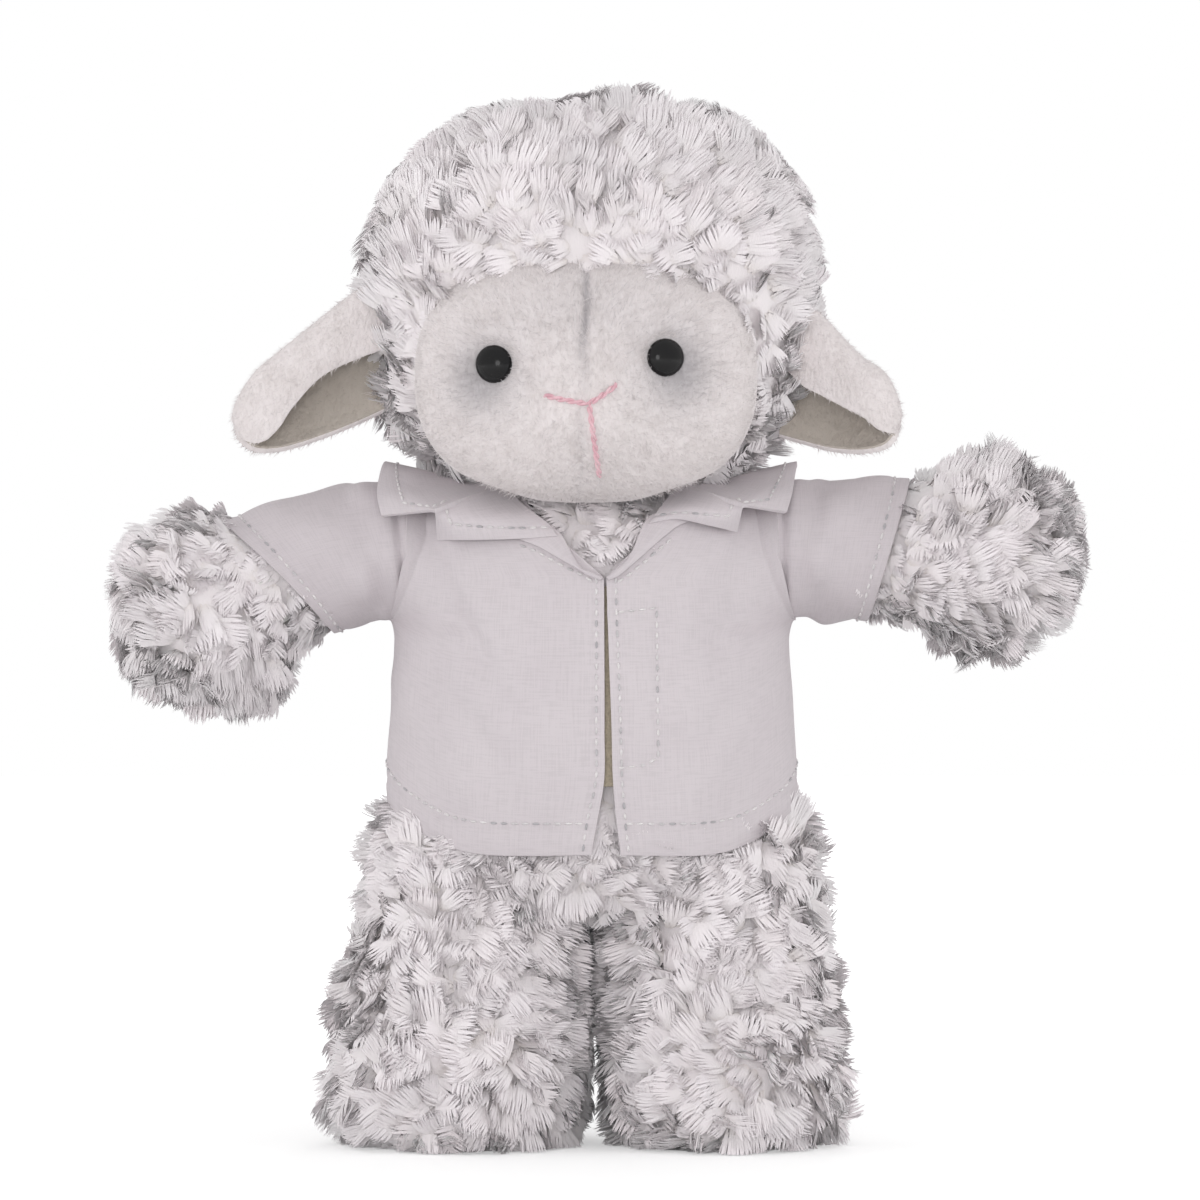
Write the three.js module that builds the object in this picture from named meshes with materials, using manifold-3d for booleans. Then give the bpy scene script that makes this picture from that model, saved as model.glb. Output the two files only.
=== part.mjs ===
// A stuffed sheep in a cotton coat, 25 cm tall, as the pieces that it is sewn from.
// Millimetres. +Z is up, the face looks along -Y, and +X is the sheep's own left.
// The origin is on the ground, under the middle of the toy.
import * as THREE from 'three';
import { mergeVertices } from 'three/addons/utils/BufferGeometryUtils.js';
import Module from 'manifold-3d';

const wasm = await Module();
wasm.setup();

// Sizes that every piece follows
const seamGap = 0.35;
const jointGap = 0.45;
const woolWall = 2.6;
const faceWall = 1.9;
const clothWall = 0.8;
const pileRoom = 2.3;
const overrun = 30;
const quarter = Math.PI / 2;

// Wool: its curls gather in mounds, which stand out from the head, the paws and the legs
const mounds = { height: 2.7, pitch: 30, fade: 14, faceShare: 1.4 };

// Torso: rings from the crotch to the neck, each half width, half depth and height
const torso = { centreY: 5, power: 2.35, levelShare: 0.75, slopeShare: 0.8, searchRounds: 30 };
const torsoRings = {
  crotch: { width: 0, depth: 0, height: 55 },
  seat: { width: 31, depth: 23, height: 57.5 },
  hip: { width: 43.5, depth: 31.5, height: 68 },
  belly: { width: 46.4, depth: 34.2, height: 86 },
  waist: { width: 45.6, depth: 33.6, height: 106 },
  chest: { width: 44.2, depth: 32, height: 126 },
  breast: { width: 43.2, depth: 30, height: 141 },
  shoulder: { width: 40.5, depth: 26.5, height: 150.5 },
  yoke: { width: 33, depth: 21, height: 154.2 },
  neck: { width: 18, depth: 12.5, height: 154.6 },
  top: { width: 0, depth: 0, height: 154.4 },
};

// Head: a tall round-cornered form on the neck's axis
const head = {
  halfWidth: 52.6,
  depthShare: 0.86,
  centreX: -0.6,
  centreY: 6,
  centreZ: 204,
  upperHeight: 46.2,
  lowerHeight: 48.6,
  upPower: 2.7,
  power: 2.5,
  roundBelow: 164,
  boxyAbove: 190,
};
const neck = { seamRadius: 19, turnAngle: 20, sweepSteps: 4, sweepRoom: 8 };
const headFront = head.centreY - head.halfWidth * head.depthShare;
const jaw = { halfWidth: 33, halfDepth: 19, halfHeight: 17.5, behind: 27.24, z: 174, power: 2.3 };

// Face: two short-pile panels over a dome, with a soft muzzle
const face = {
  centreX: -1.4,
  centreZ: 184,
  halfWidth: 40.6,
  halfHeight: 29.7,
  backBehind: 17.24,
  chinForward: 7,
  plugInset: 16,
  rimBehind: 12.24,
  dome: 19.5,
  outlinePower: 2.45,
  domePower: 2.3,
  muzzle: 4.6,
  muzzleSpread: 15,
  noseX: -0.7,
  noseZ: 174,
  seamX: -2,
};
const faceBack = headFront + face.backBehind;
const faceRim = headFront + face.rimBehind;
const eye = {
  radius: 4.5,
  height: 3.3,
  rim: 0.7,
  stemRadius: 1.6,
  stemLength: 7,
  dent: 1.5,
  dentSpread: 6.2,
  washerRadius: 5.6,
  washerWall: 1.2,
};
const eyes = { left: { x: 17.1, z: 188 }, right: { x: -22.8, z: 186.5 } };
const yarn = { radius: 0.72, sink: 2.2, pointShares: [0, 0.2, 0.5, 0.8, 1] };
const nose = {
  junction: { x: -0.7, z: 176.2 },
  left: { x: 6.3, z: 181.8 },
  right: { x: -11.2, z: 178.3 },
  chin: { x: 1.9, z: 159.2 },
  apart: 1.9,
};

// Ears: a leaf of two layers, sewn along its root and cupped towards the back
const ear = {
  wall: 1.3,
  rootY: -7,
  rootGap: 0.8,
  cup: 5.2,
  cupFullShare: 0.5,
  cupFadeShare: 0.6,
  tipPower: 3,
  tipEndShare: 0.985,
};
const ears = {
  left: { z: 188, rootHalf: 14.5, tipHalf: 7.5, reach: 23, drop: 16.5, sweep: -9 },
  right: { z: 190.5, rootHalf: 14, tipHalf: 6.5, reach: 33.6, drop: 18.5, sweep: -2 },
};

// Arms: a ball in the shoulder, a straight upper arm and a fat paw that droops
const arm = {
  shoulderX: 47,
  shoulderY: 2,
  shoulderZ: 143.5,
  ballRadius: 16,
  wristRadius: 16.2,
  wristAt: 27,
  pawAt: 46,
  tipPower: 2.2,
  rootHole: 9,
};
const arms = {
  left: { startAngle: 1, endAngle: -7, paw: 20.8, tip: 69.5 },
  right: { startAngle: -5, endAngle: -41, paw: 22.4, tip: 68 },
};
const shoulderRange = { lowestAngle: -25, highestAngle: 14 };

// Sleeves: straight tubes round the upper arms, with a round seat in the armhole
const sleeve = { clearance: 0.5, seat: 7.5, flare: 0.5 };
const cuffs = { left: 24.5, right: 28.5 };

// Legs: a ball in the hip, a stout shank and a foot that bulges forward
const leg = {
  hipX: 28.6,
  hipY: 4,
  hipZ: 66,
  ballRadius: 25.4,
  shankRadius: 25.2,
  kneeHeight: 38,
  footHeight: 18,
  footForward: 4.5,
  footLength: 30.5,
  soleCut: 0.5,
  soleShare: 0.3,
  solePower: 6,
  rootHole: 12,
};
const feet = {
  left: { x: 31.4, halfWidth: 26.2 },
  right: { x: -31.6, halfWidth: 28.3 },
};
const hipRange = { lowestAngle: -15, highestAngle: 40 };
const tail = { rootZ: 70, rootY: 34, length: 21, radius: 7.5, leanAngle: 38, dropPower: 0.8 };

// Coat: two fronts, a back, a notched collar and turned facings
const coat = {
  sideSeamAngle: 93,
  hemFront: 71.5,
  hemSide: 83.5,
  hemBack: 74,
  neckShare: 0.845,
  topZ: 152,
  vBottom: 136.4,
  vHalf: 17.5,
  vCentre: 2,
  vOverShare: 1.1,
  hemPower: 5,
  ply: 0.9,
  foldDepth: 1.1,
  foldCount: 7,
  foldTopShare: 0.9,
};
const frontEdges = {
  left: { top: 3.3, waist: 4.4, hem: 6.7 },
  right: { top: 2.9, waist: 2.6, hem: -0.4 },
};
const facing = { wing: 36, wingLow: 147.6, band: 7, top: 152.4 };
const strip = { width: 10.5, low: 91, high: 129, hookX: 5.2, wall: 0.6 };
const underlap = { x: -3.4, width: 15.5, low: 87, high: 134.5 };
const collar = {
  innerWidth: 30.4,
  innerDepth: 26.4,
  innerZ: 159.4,
  outerWidth: 49.6,
  outerDepth: 38.6,
  rollZ: 162,
  frontZ: 152.6,
  sideZ: 165.5,
  backZ: 149,
  notchAngle: 43,
  rollShare: 0.75,
  frontFallAngle: 130,
  frontTopAngle: 100,
  backTopAngle: 75,
  backFallAngle: 40,
};

// Grids: how many steps each form has
const steps = {
  head: 24,
  hood: 32,
  shank: 24,
  torso: 24,
  limb: 16,
  fan: 10,
  across: 10,
  hang: 12,
  back: 20,
  sleeve: 18,
  cuff: 5,
  ear: 8,
  cup: 5,
  collar: 24,
  roll: 5,
  lathe: 12,
  dome: 4,
  tube: 6,
  stitch: 8,
};

const colours = {
  wool: { color: 0xd9d2d0, roughness: 0.95, metalness: 0 },
  fleece: { color: 0xdcd7d6, roughness: 0.9, metalness: 0 },
  lining: { color: 0xb3a79c, roughness: 0.9, metalness: 0 },
  cotton: { color: 0xd6d0d3, roughness: 0.85, metalness: 0 },
  loops: { color: 0xc4b394, roughness: 0.9, metalness: 0 },
  hooks: { color: 0xd8d2cc, roughness: 0.7, metalness: 0 },
  glass: { color: 0x0a0a0a, roughness: 0.08, metalness: 0 },
  pinkYarn: { color: 0xd89aa6, roughness: 0.8, metalness: 0 },
  washer: { color: 0xdadada, roughness: 0.5, metalness: 0 },
  filling: { color: 0xf4f2ee, roughness: 1, metalness: 0 },
};

const sides = [
  { name: 'left', sign: 1 },
  { name: 'right', sign: -1 },
];

const radians = THREE.MathUtils.degToRad;
const clampShare = (value) => Math.min(1, Math.max(0, value));

function smooth(from, to, value) {
  const share = clampShare((value - from) / (to - from));
  return share * share * (3 - 2 * share);
}

function signedPower(value, exponent) {
  return Math.sign(value) * Math.abs(value) ** exponent;
}

// A point of an oval with flattened sides, at an angle from the front towards the left
function oval(angle, halfWidth, halfDepth, power) {
  const x = halfWidth * signedPower(Math.sin(angle), 2 / power);
  const y = -halfDepth * signedPower(Math.cos(angle), 2 / power);
  return { x, y };
}

// How far out a rounded end reaches at a share of its height
function rounded(share, power) {
  return Math.max(0, 1 - Math.abs(share) ** power) ** (1 / power);
}

function closedGeometry(positions, indices) {
  const geometry = new THREE.BufferGeometry();
  geometry.setAttribute('position', new THREE.Float32BufferAttribute(positions, 3));
  geometry.setIndex(signedVolume(positions, indices) < 0 ? indices.reverse() : indices);
  return geometry;
}

function signedVolume(positions, indices) {
  const a = new THREE.Vector3();
  const b = new THREE.Vector3();
  const c = new THREE.Vector3();
  let sum = 0;
  for (let i = 0; i < indices.length; i += 3) {
    a.fromArray(positions, 3 * indices[i]);
    b.fromArray(positions, 3 * indices[i + 1]);
    c.fromArray(positions, 3 * indices[i + 2]);
    sum += a.dot(b.cross(c));
  }
  return sum;
}

// A closed solid through rings of points, with a pole at the middle of each end
function loft(rings) {
  const count = rings[0].length;
  const positions = [];
  const indices = [];
  for (const ring of rings) {
    for (const point of ring) positions.push(point.x, point.y, point.z);
  }
  for (let r = 0; r + 1 < rings.length; r += 1) {
    for (let i = 0; i < count; i += 1) {
      const a = r * count + i;
      const b = r * count + ((i + 1) % count);
      indices.push(a, b, b + count, a, b + count, a + count);
    }
  }
  addPole(positions, indices, rings[0], 0, true);
  addPole(positions, indices, rings.at(-1), (rings.length - 1) * count, false);
  return closedGeometry(positions, indices);
}

function addPole(positions, indices, ring, first, turned) {
  const middle = new THREE.Vector3();
  for (const point of ring) middle.add(point);
  middle.divideScalar(ring.length);
  const pole = positions.length / 3;
  positions.push(middle.x, middle.y, middle.z);
  for (let i = 0; i < ring.length; i += 1) {
    const a = first + i;
    const b = first + ((i + 1) % ring.length);
    if (turned) indices.push(b, a, pole);
    else indices.push(a, b, pole);
  }
}

// A closed sheet of cloth: place(u, v) draws a surface, and the cloth's two faces lie
// at the distances near and far from it
function sheet(place, columns, rows, near, far, wraps = false) {
  const drawn = [];
  for (let i = 0; i <= columns; i += 1) {
    drawn.push([]);
    for (let j = 0; j <= rows; j += 1) drawn[i].push(place(i / columns, j / rows));
  }
  const face = (distance) => drawn.map((line, i) => line.map((point, j) => {
    return point.clone().addScaledVector(gridNormal(drawn, i, j, wraps), distance);
  }));
  return stitch(face(near), face(far), wraps);
}

function gridNormal(grid, i, j, wraps) {
  const columns = grid.length - 1;
  const rows = grid[0].length - 1;
  const before = wraps && i === 0 ? columns - 1 : Math.max(0, i - 1);
  const after = wraps && i === columns ? 1 : Math.min(columns, i + 1);
  const along = grid[after][j].clone().sub(grid[before][j]);
  const up = grid[i][Math.min(rows, j + 1)].clone().sub(grid[i][Math.max(0, j - 1)]);
  return along.cross(up).normalize();
}

function stitch(inner, outer, wraps) {
  const columns = inner.length - 1;
  const rows = inner[0].length - 1;
  const lines = wraps ? columns : columns + 1;
  const positions = [];
  const indices = [];
  for (const grid of [inner, outer]) {
    for (let i = 0; i < lines; i += 1) {
      for (const point of grid[i]) positions.push(point.x, point.y, point.z);
    }
  }
  const at = (side, i, j) => side * lines * (rows + 1) + (i % lines) * (rows + 1) + j;
  const quad = (a, b, c, d) => indices.push(a, b, c, a, c, d);
  for (let i = 0; i < columns; i += 1) {
    for (let j = 0; j < rows; j += 1) {
      quad(at(1, i, j), at(1, i + 1, j), at(1, i + 1, j + 1), at(1, i, j + 1));
      quad(at(0, i, j), at(0, i, j + 1), at(0, i + 1, j + 1), at(0, i + 1, j));
    }
    quad(at(0, i, 0), at(0, i + 1, 0), at(1, i + 1, 0), at(1, i, 0));
    quad(at(1, i, rows), at(1, i + 1, rows), at(0, i + 1, rows), at(0, i, rows));
  }
  for (let j = 0; j < rows && !wraps; j += 1) {
    quad(at(1, 0, j), at(1, 0, j + 1), at(0, 0, j + 1), at(0, 0, j));
    quad(at(0, columns, j), at(0, columns, j + 1), at(1, columns, j + 1), at(1, columns, j));
  }
  return closedGeometry(positions, indices);
}

function toSolid(geometry) {
  const bare = geometry.clone();
  bare.deleteAttribute('normal');
  bare.deleteAttribute('uv');
  const merged = mergeVertices(bare);
  return new wasm.Manifold(new wasm.Mesh({
    numProp: 3,
    vertProperties: new Float32Array(merged.attributes.position.array),
    triVerts: new Uint32Array(merged.index.array),
  }));
}

function toGeometry(solid) {
  const mesh = solid.getMesh();
  const geometry = new THREE.BufferGeometry();
  geometry.setAttribute('position', new THREE.BufferAttribute(mesh.vertProperties, 3));
  geometry.setIndex(new THREE.BufferAttribute(mesh.triVerts, 1));
  return geometry;
}

function cut(geometry, ...cutters) {
  let solid = toSolid(geometry);
  for (const cutter of cutters) solid = solid.subtract(toSolid(cutter));
  return toGeometry(solid);
}

function keep(geometry, region) {
  return toGeometry(toSolid(geometry).intersect(toSolid(region)));
}

function join(first, second) {
  return toGeometry(toSolid(first).add(toSolid(second)));
}

function block(low, high) {
  const size = high.clone().sub(low);
  const middle = low.clone().add(high).multiplyScalar(1 / 2);
  const geometry = new THREE.BoxGeometry(size.x, size.y, size.z);
  return geometry.translate(middle.x, middle.y, middle.z);
}

// The room that a round limb needs as it swings about Y at the origin: slices of a
// disc with a fan, between two headings in the XZ plane
function sweptLimb(radius, reach, low, high) {
  const rings = [];
  for (let k = 0; k <= steps.fan; k += 1) {
    const turn = quarter * ((2 * k) / steps.fan - 1);
    const y = radius * Math.sin(turn);
    const half = radius * Math.cos(turn);
    const ring = [];
    for (let i = 0; i <= steps.fan; i += 1) {
      const heading = THREE.MathUtils.lerp(low, high, i / steps.fan);
      const aside = half * (2 * (i / steps.fan) - 1);
      const x = reach * Math.cos(heading) - aside * Math.sin(heading);
      const z = reach * Math.sin(heading) + aside * Math.cos(heading);
      ring.push(new THREE.Vector3(x, y, z));
    }
    for (let i = 0; i <= steps.fan; i += 1) {
      const around = THREE.MathUtils.lerp(high + quarter, low - quarter + 2 * Math.PI, i / steps.fan);
      ring.push(new THREE.Vector3(half * Math.cos(around), y, half * Math.sin(around)));
    }
    rings.push(ring);
  }
  return loft(rings);
}

// Torso
const torsoCurve = new THREE.CatmullRomCurve3(
  Object.values(torsoRings).map((ring) => new THREE.Vector3(ring.width, ring.depth, ring.height)),
);

// A point at a distance outside the torso's skin
function torsoPoint(angle, share, lift) {
  const ring = torsoCurve.getPoint(clampShare(share));
  const slope = torsoCurve.getTangent(clampShare(share));
  const run = Math.hypot(slope.x, slope.z);
  const out = (lift * slope.z) / run;
  const up = (lift * -slope.x) / run;
  const width = Math.max(0, ring.x + out);
  const depth = Math.max(0, ring.y + out);
  const spot = oval(angle, width, depth, torso.power);
  return new THREE.Vector3(spot.x, torso.centreY + spot.y, ring.z + up);
}

function torsoForm(inset, around = steps.torso) {
  const rings = [];
  const levels = Math.round(around * torso.levelShare);
  for (let r = 1; r < levels; r += 1) {
    const ring = [];
    for (let i = 0; i < around; i += 1) {
      ring.push(torsoPoint((i / around) * 2 * Math.PI, r / levels, -inset));
    }
    rings.push(ring);
  }
  return loft(rings);
}

// How far the wool's mounds stand out at a point of a skin
function moundHeight(point) {
  const turn = (2 * Math.PI) / mounds.pitch;
  const [x, y, z] = point.clone().multiplyScalar(turn).toArray();
  const wave = Math.sin(x) * Math.cos(y) + Math.sin(y) * Math.cos(z) + Math.sin(z) * Math.cos(x);
  return mounds.height * clampShare((1 + wave) / 2);
}

// Raises a point of a skin by a share of its mound, straight away from a middle
function raise(point, middle, share) {
  const out = point.clone().sub(middle).normalize();
  return point.addScaledVector(out, share * moundHeight(point));
}

// Head: round about the neck's axis at its foot, and boxier above
function headSection(z, tilt, inset) {
  const boxy = smooth(head.roundBelow, head.boxyAbove, z);
  const width = (head.halfWidth - inset) * rounded(tilt, head.upPower);
  return {
    width,
    depth: width * THREE.MathUtils.lerp(1, head.depthShare, boxy),
    power: THREE.MathUtils.lerp(2, head.power, boxy),
    aside: head.centreX * boxy,
  };
}

// The mounds fade out beside the face, the ears and the neck
function headMoundShare({ x, y, z }) {
  const front = smooth(head.centreY, faceRim, y);
  const beside = smooth(1, mounds.faceShare, faceEdge(x, z, 0));
  const own = x > 0 ? ears.left : ears.right;
  const beyond = Math.max(0, Math.abs(z - own.z) - own.rootHalf);
  const fromEar = Math.hypot(y - ear.rootY, beyond);
  const low = head.roundBelow + neck.sweepRoom;
  const clear = smooth(mounds.fade / 2, mounds.fade + ear.cup, fromEar);
  return THREE.MathUtils.lerp(1, beside, front) * clear * smooth(low, low + mounds.fade, z);
}

function headForm(inset, around = steps.head, moundShare = () => 0) {
  const rings = [];
  const levels = around / 2;
  const middle = new THREE.Vector3(head.centreX, head.centreY, head.centreZ);
  for (let r = 0; r <= levels; r += 1) {
    const tilt = -Math.cos((Math.PI * (r + 1 / 2)) / (levels + 1));
    const tall = (tilt > 0 ? head.upperHeight : head.lowerHeight) - inset;
    const z = head.centreZ + tilt * tall;
    const { aside, width, depth, power } = headSection(z, tilt, inset);
    const ring = [];
    for (let i = 0; i < around; i += 1) {
      const spot = oval((i / around) * 2 * Math.PI, width, depth, power);
      const point = new THREE.Vector3(aside + spot.x, head.centreY + spot.y, z);
      ring.push(raise(point, middle, moundShare(point)));
    }
    rings.push(ring);
  }
  return loft(rings);
}

// The wool under the chin, which carries the face's lower edge
function jawForm(inset, around = steps.limb) {
  const rings = [];
  for (let r = 1; r < around / 2; r += 1) {
    const tilt = -Math.cos((2 * Math.PI * r) / around);
    const width = (jaw.halfWidth - inset) * rounded(tilt, jaw.power);
    const depth = (jaw.halfDepth - inset) * rounded(tilt, jaw.power);
    const ring = [];
    for (let i = 0; i < around; i += 1) {
      const spot = oval((i / around) * 2 * Math.PI, width, depth, 2);
      const z = jaw.z + tilt * (jaw.halfHeight - inset);
      ring.push(new THREE.Vector3(head.centreX + spot.x, headFront + jaw.behind + spot.y, z));
    }
    rings.push(ring);
  }
  return loft(rings);
}

// The room that the turning head needs at its lower side
function headSweep() {
  const chin = join(
    jawForm(-jointGap),
    faceForm(-3 * jointGap, faceBack + jointGap, steps.limb),
  );
  const wide = 2 * overrun;
  const low = new THREE.Vector3(-wide, -wide, torsoRings.shoulder.height);
  const high = new THREE.Vector3(wide, overrun, head.roundBelow + neck.sweepRoom);
  let sum = headForm(-jointGap, steps.hood);
  for (let i = 0; i <= neck.sweepSteps; i += 1) {
    const turn = radians(neck.turnAngle) * ((2 * i) / neck.sweepSteps - 1);
    const turned = keep(chin, block(low, high)).translate(0, -head.centreY, 0).rotateZ(turn);
    sum = join(sum, turned.translate(0, head.centreY, 0));
  }
  return keep(sum, block(low, high.setY(wide)));
}

// Face
function bump(x, z, spot, spread) {
  return Math.exp(-((x - spot.x) ** 2 + (z - spot.z) ** 2) / spread ** 2);
}

// 0 at the face's middle and 1 on its outline
function faceEdge(x, z, inset) {
  const across = Math.abs(x - face.centreX) / (face.halfWidth - inset);
  const tall = Math.abs(z - face.centreZ) / (face.halfHeight - inset);
  return (across ** face.outlinePower + tall ** face.outlinePower) ** (1 / face.outlinePower);
}

// How far forward the face lies: a dome with a muzzle and a dent round each eye
function faceDepth(x, z, inset) {
  const edge = faceEdge(x, z, inset);
  const muzzle = face.muzzle * bump(x, z, { x: face.noseX, z: face.noseZ }, face.muzzleSpread);
  const dents = bump(x, z, eyes.left, eye.dentSpread) + bump(x, z, eyes.right, eye.dentSpread);
  const forward = face.dome - inset + muzzle - eye.dent * dents;
  return faceRim - forward * rounded(Math.min(1, edge), face.domePower);
}

function faceForm(inset, back, around = steps.head) {
  const rings = [faceRing(1, inset, around, back)];
  const levels = around / 4;
  for (let r = 0; r < levels; r += 1) {
    rings.push(faceRing(Math.cos((quarter * r) / levels), inset, around));
  }
  return loft(rings);
}

// A ring of the face's dome, or of its flat back, which slants forward under the chin
function faceRing(share, inset, around, back) {
  const chin = face.centreZ - face.halfHeight;
  const ring = [];
  for (let i = 0; i < around; i += 1) {
    const spot = oval((i / around) * 2 * Math.PI, 1, 1, face.outlinePower);
    const x = face.centreX + share * (face.halfWidth - inset) * spot.x;
    const z = face.centreZ + share * (face.halfHeight - inset) * spot.y;
    const slant = face.chinForward * smooth(chin + face.halfHeight / 2, chin, z);
    const y = back === undefined ? faceDepth(x, z, inset) : back - slant;
    ring.push(new THREE.Vector3(x, y, z));
  }
  return ring;
}

function facePanel(sign, holes) {
  const shell = cut(
    faceForm(0, faceBack),
    faceForm(faceWall, faceBack + overrun, steps.head / 2),
    ...holes,
  );
  const edge = face.seamX + (sign * seamGap) / 2;
  const far = edge + sign * 2 * face.halfWidth;
  const tall = 2 * overrun;
  const low = new THREE.Vector3(Math.min(edge, far), faceRim - overrun, face.centreZ - tall);
  const high = new THREE.Vector3(Math.max(edge, far), faceBack + overrun, face.centreZ + tall);
  return keep(shell, block(low, high));
}

// Eyes: a domed button on a stem, held behind the face by a washer
function eyeFrame({ x, z }) {
  const step = eye.rim;
  const across = faceDepth(x + step, z, 0) - faceDepth(x - step, z, 0);
  const upward = faceDepth(x, z + step, 0) - faceDepth(x, z - step, 0);
  const out = new THREE.Vector3(across, -2 * step, upward).normalize();
  const frame = new THREE.Object3D();
  frame.position.set(x, faceDepth(x, z, 0), z).addScaledVector(out, eye.rim);
  frame.quaternion.setFromUnitVectors(new THREE.Vector3(0, 1, 0), out);
  frame.updateMatrix();
  return frame;
}

function eyeShape() {
  const profile = [new THREE.Vector2(0, -eye.stemLength)];
  profile.push(new THREE.Vector2(eye.stemRadius, -eye.stemLength));
  profile.push(new THREE.Vector2(eye.stemRadius, 0));
  profile.push(new THREE.Vector2(eye.radius - eye.rim, 0));
  for (let i = 0; i <= steps.dome; i += 1) {
    const turn = (quarter * i) / steps.dome;
    const up = eye.rim + (eye.height - eye.rim) * Math.sin(turn);
    profile.push(new THREE.Vector2(i === steps.dome ? 0 : eye.radius * Math.cos(turn), up));
  }
  return new THREE.LatheGeometry(profile, steps.lathe);
}

function washerShape() {
  const inside = eye.stemRadius + seamGap;
  const top = -eye.rim - faceWall - eye.dent;
  const profile = [
    new THREE.Vector2(inside, top),
    new THREE.Vector2(inside, top - eye.washerWall),
    new THREE.Vector2(eye.washerRadius, top - eye.washerWall),
    new THREE.Vector2(eye.washerRadius, top),
    new THREE.Vector2(inside, top),
  ];
  return new THREE.LatheGeometry(profile, steps.lathe);
}

function eyeHole(frame, radius) {
  const hole = new THREE.CylinderGeometry(radius, radius, 2 * eye.stemLength, steps.lathe);
  return hole.applyMatrix4(frame.matrix);
}

// Nose and mouth: three stitches of yarn that dive into the face at both ends
function stitchPath(from, to) {
  const points = [];
  for (const share of yarn.pointShares) {
    const x = THREE.MathUtils.lerp(from.x, to.x, share);
    const z = THREE.MathUtils.lerp(from.z, to.z, share);
    const end = share === 0 || share === 1;
    const above = end ? -yarn.sink : yarn.radius + seamGap;
    points.push(new THREE.Vector3(x, faceDepth(x, z, 0) - above, z));
  }
  return new THREE.CatmullRomCurve3(points, false, 'centripetal');
}

function yarnShape(path, radius) {
  const outline = new THREE.Shape();
  outline.absarc(0, 0, radius, 0, 2 * Math.PI);
  return new THREE.ExtrudeGeometry(outline, {
    steps: steps.stitch,
    curveSegments: steps.tube,
    extrudePath: path,
    bevelEnabled: false,
  });
}

const nosePaths = {
  nose_stitch_left: stitchPath(
    { x: nose.junction.x + nose.apart / 2, z: nose.junction.z },
    nose.left,
  ),
  nose_stitch_right: stitchPath(
    { x: nose.junction.x - nose.apart / 2, z: nose.junction.z },
    nose.right,
  ),
  mouth_stitch: stitchPath(
    { x: nose.junction.x, z: nose.junction.z - nose.apart },
    nose.chin,
  ),
};

// Ears
function headSideX(z, sign) {
  const tall = z > head.centreZ ? head.upperHeight : head.lowerHeight;
  const { aside, width, depth, power } = headSection(z, (z - head.centreZ) / tall, 0);
  return aside + sign * width * rounded((ear.rootY - head.centreY) / depth, power);
}

// One layer of an ear's leaf, between two distances from the middle of the leaf
function earLayer(side, near, far) {
  const own = ears[side.name];
  const place = (u, v) => {
    const along = smooth(0, 1, u);
    const half = THREE.MathUtils.lerp(own.rootHalf, own.tipHalf, along);
    const spread = (1 - 2 * v) * half * rounded(along * ear.tipEndShare, ear.tipPower);
    const rootX = headSideX(own.z + spread, side.sign) + side.sign * ear.rootGap;
    const seamX = THREE.MathUtils.lerp(rootX, headSideX(own.z, side.sign), along);
    const fade = smooth(0, ear.cupFullShare, along) * smooth(1, ear.cupFadeShare, along);
    const cup = ear.cup * fade * (1 - (1 - 2 * v) ** 2);
    return new THREE.Vector3(
      seamX + side.sign * own.reach * along,
      ear.rootY + own.sweep * along + cup,
      own.z - own.drop * along + spread,
    );
  };
  return sheet(place, steps.ear, steps.cup, side.sign * near, side.sign * far);
}

// Arms and sleeves
// The arm's middle line: straight inside the shoulder, then evenly bent
function armSpot(side, along) {
  const own = arms[side.name];
  const start = radians(own.startAngle);
  const end = radians(own.endAngle);
  const bend = (end - start) / own.tip;
  const heading = start + bend * Math.max(0, along);
  const straight = Math.min(0, along);
  const x = (Math.sin(heading) - Math.sin(start)) / bend + straight * Math.cos(start);
  const z = (Math.cos(start) - Math.cos(heading)) / bend + straight * Math.sin(start);
  const centre = new THREE.Vector3(
    side.sign * (arm.shoulderX + x),
    arm.shoulderY,
    arm.shoulderZ + z,
  );
  const upward = new THREE.Vector3(-side.sign * Math.sin(heading), 0, Math.cos(heading));
  return { centre, upward };
}

function armRadius(side, along) {
  const own = arms[side.name];
  if (along < 0) return Math.sqrt(Math.max(0, arm.ballRadius ** 2 - along ** 2));
  const upper = THREE.MathUtils.lerp(arm.ballRadius, arm.wristRadius, smooth(0, arm.wristAt, along));
  const swell = upper + (own.paw - upper) * smooth(cuffs[side.name], arm.pawAt, along);
  const end = clampShare((along - arm.pawAt) / (own.tip - arm.pawAt));
  return swell * rounded(end, arm.tipPower);
}

function armRing(side, along, radius, around) {
  const { centre, upward } = armSpot(side, along);
  const ring = [];
  for (let i = 0; i < around; i += 1) {
    const angle = (i / around) * 2 * Math.PI;
    const point = centre.clone().addScaledVector(upward, radius * Math.cos(angle));
    point.y += radius * Math.sin(angle);
    ring.push(point);
  }
  return ring;
}

function armForm(side, inset, around = steps.limb, moundShare = () => 0) {
  const tip = arms[side.name].tip;
  const middle = armSpot(side, arm.pawAt).centre;
  const rings = [];
  for (let r = 1; r < around; r += 1) {
    const share = (1 - Math.cos((Math.PI * r) / around)) / 2;
    const along = THREE.MathUtils.lerp(inset - arm.ballRadius, tip - inset, share);
    const outer = armRadius(side, THREE.MathUtils.lerp(-arm.ballRadius, tip, share));
    const radius = Math.max(outer - inset, outer * share * (1 - share));
    const ring = armRing(side, along, radius, around);
    rings.push(ring.map((point) => raise(point, middle, moundShare(along))));
  }
  return loft(rings);
}

function sleeveRadius(along) {
  const inside = arm.wristRadius + sleeve.clearance;
  if (along < 0) return Math.sqrt(inside ** 2 - along ** 2);
  return inside + sleeve.flare * smooth(0, arm.wristAt, along);
}

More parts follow.
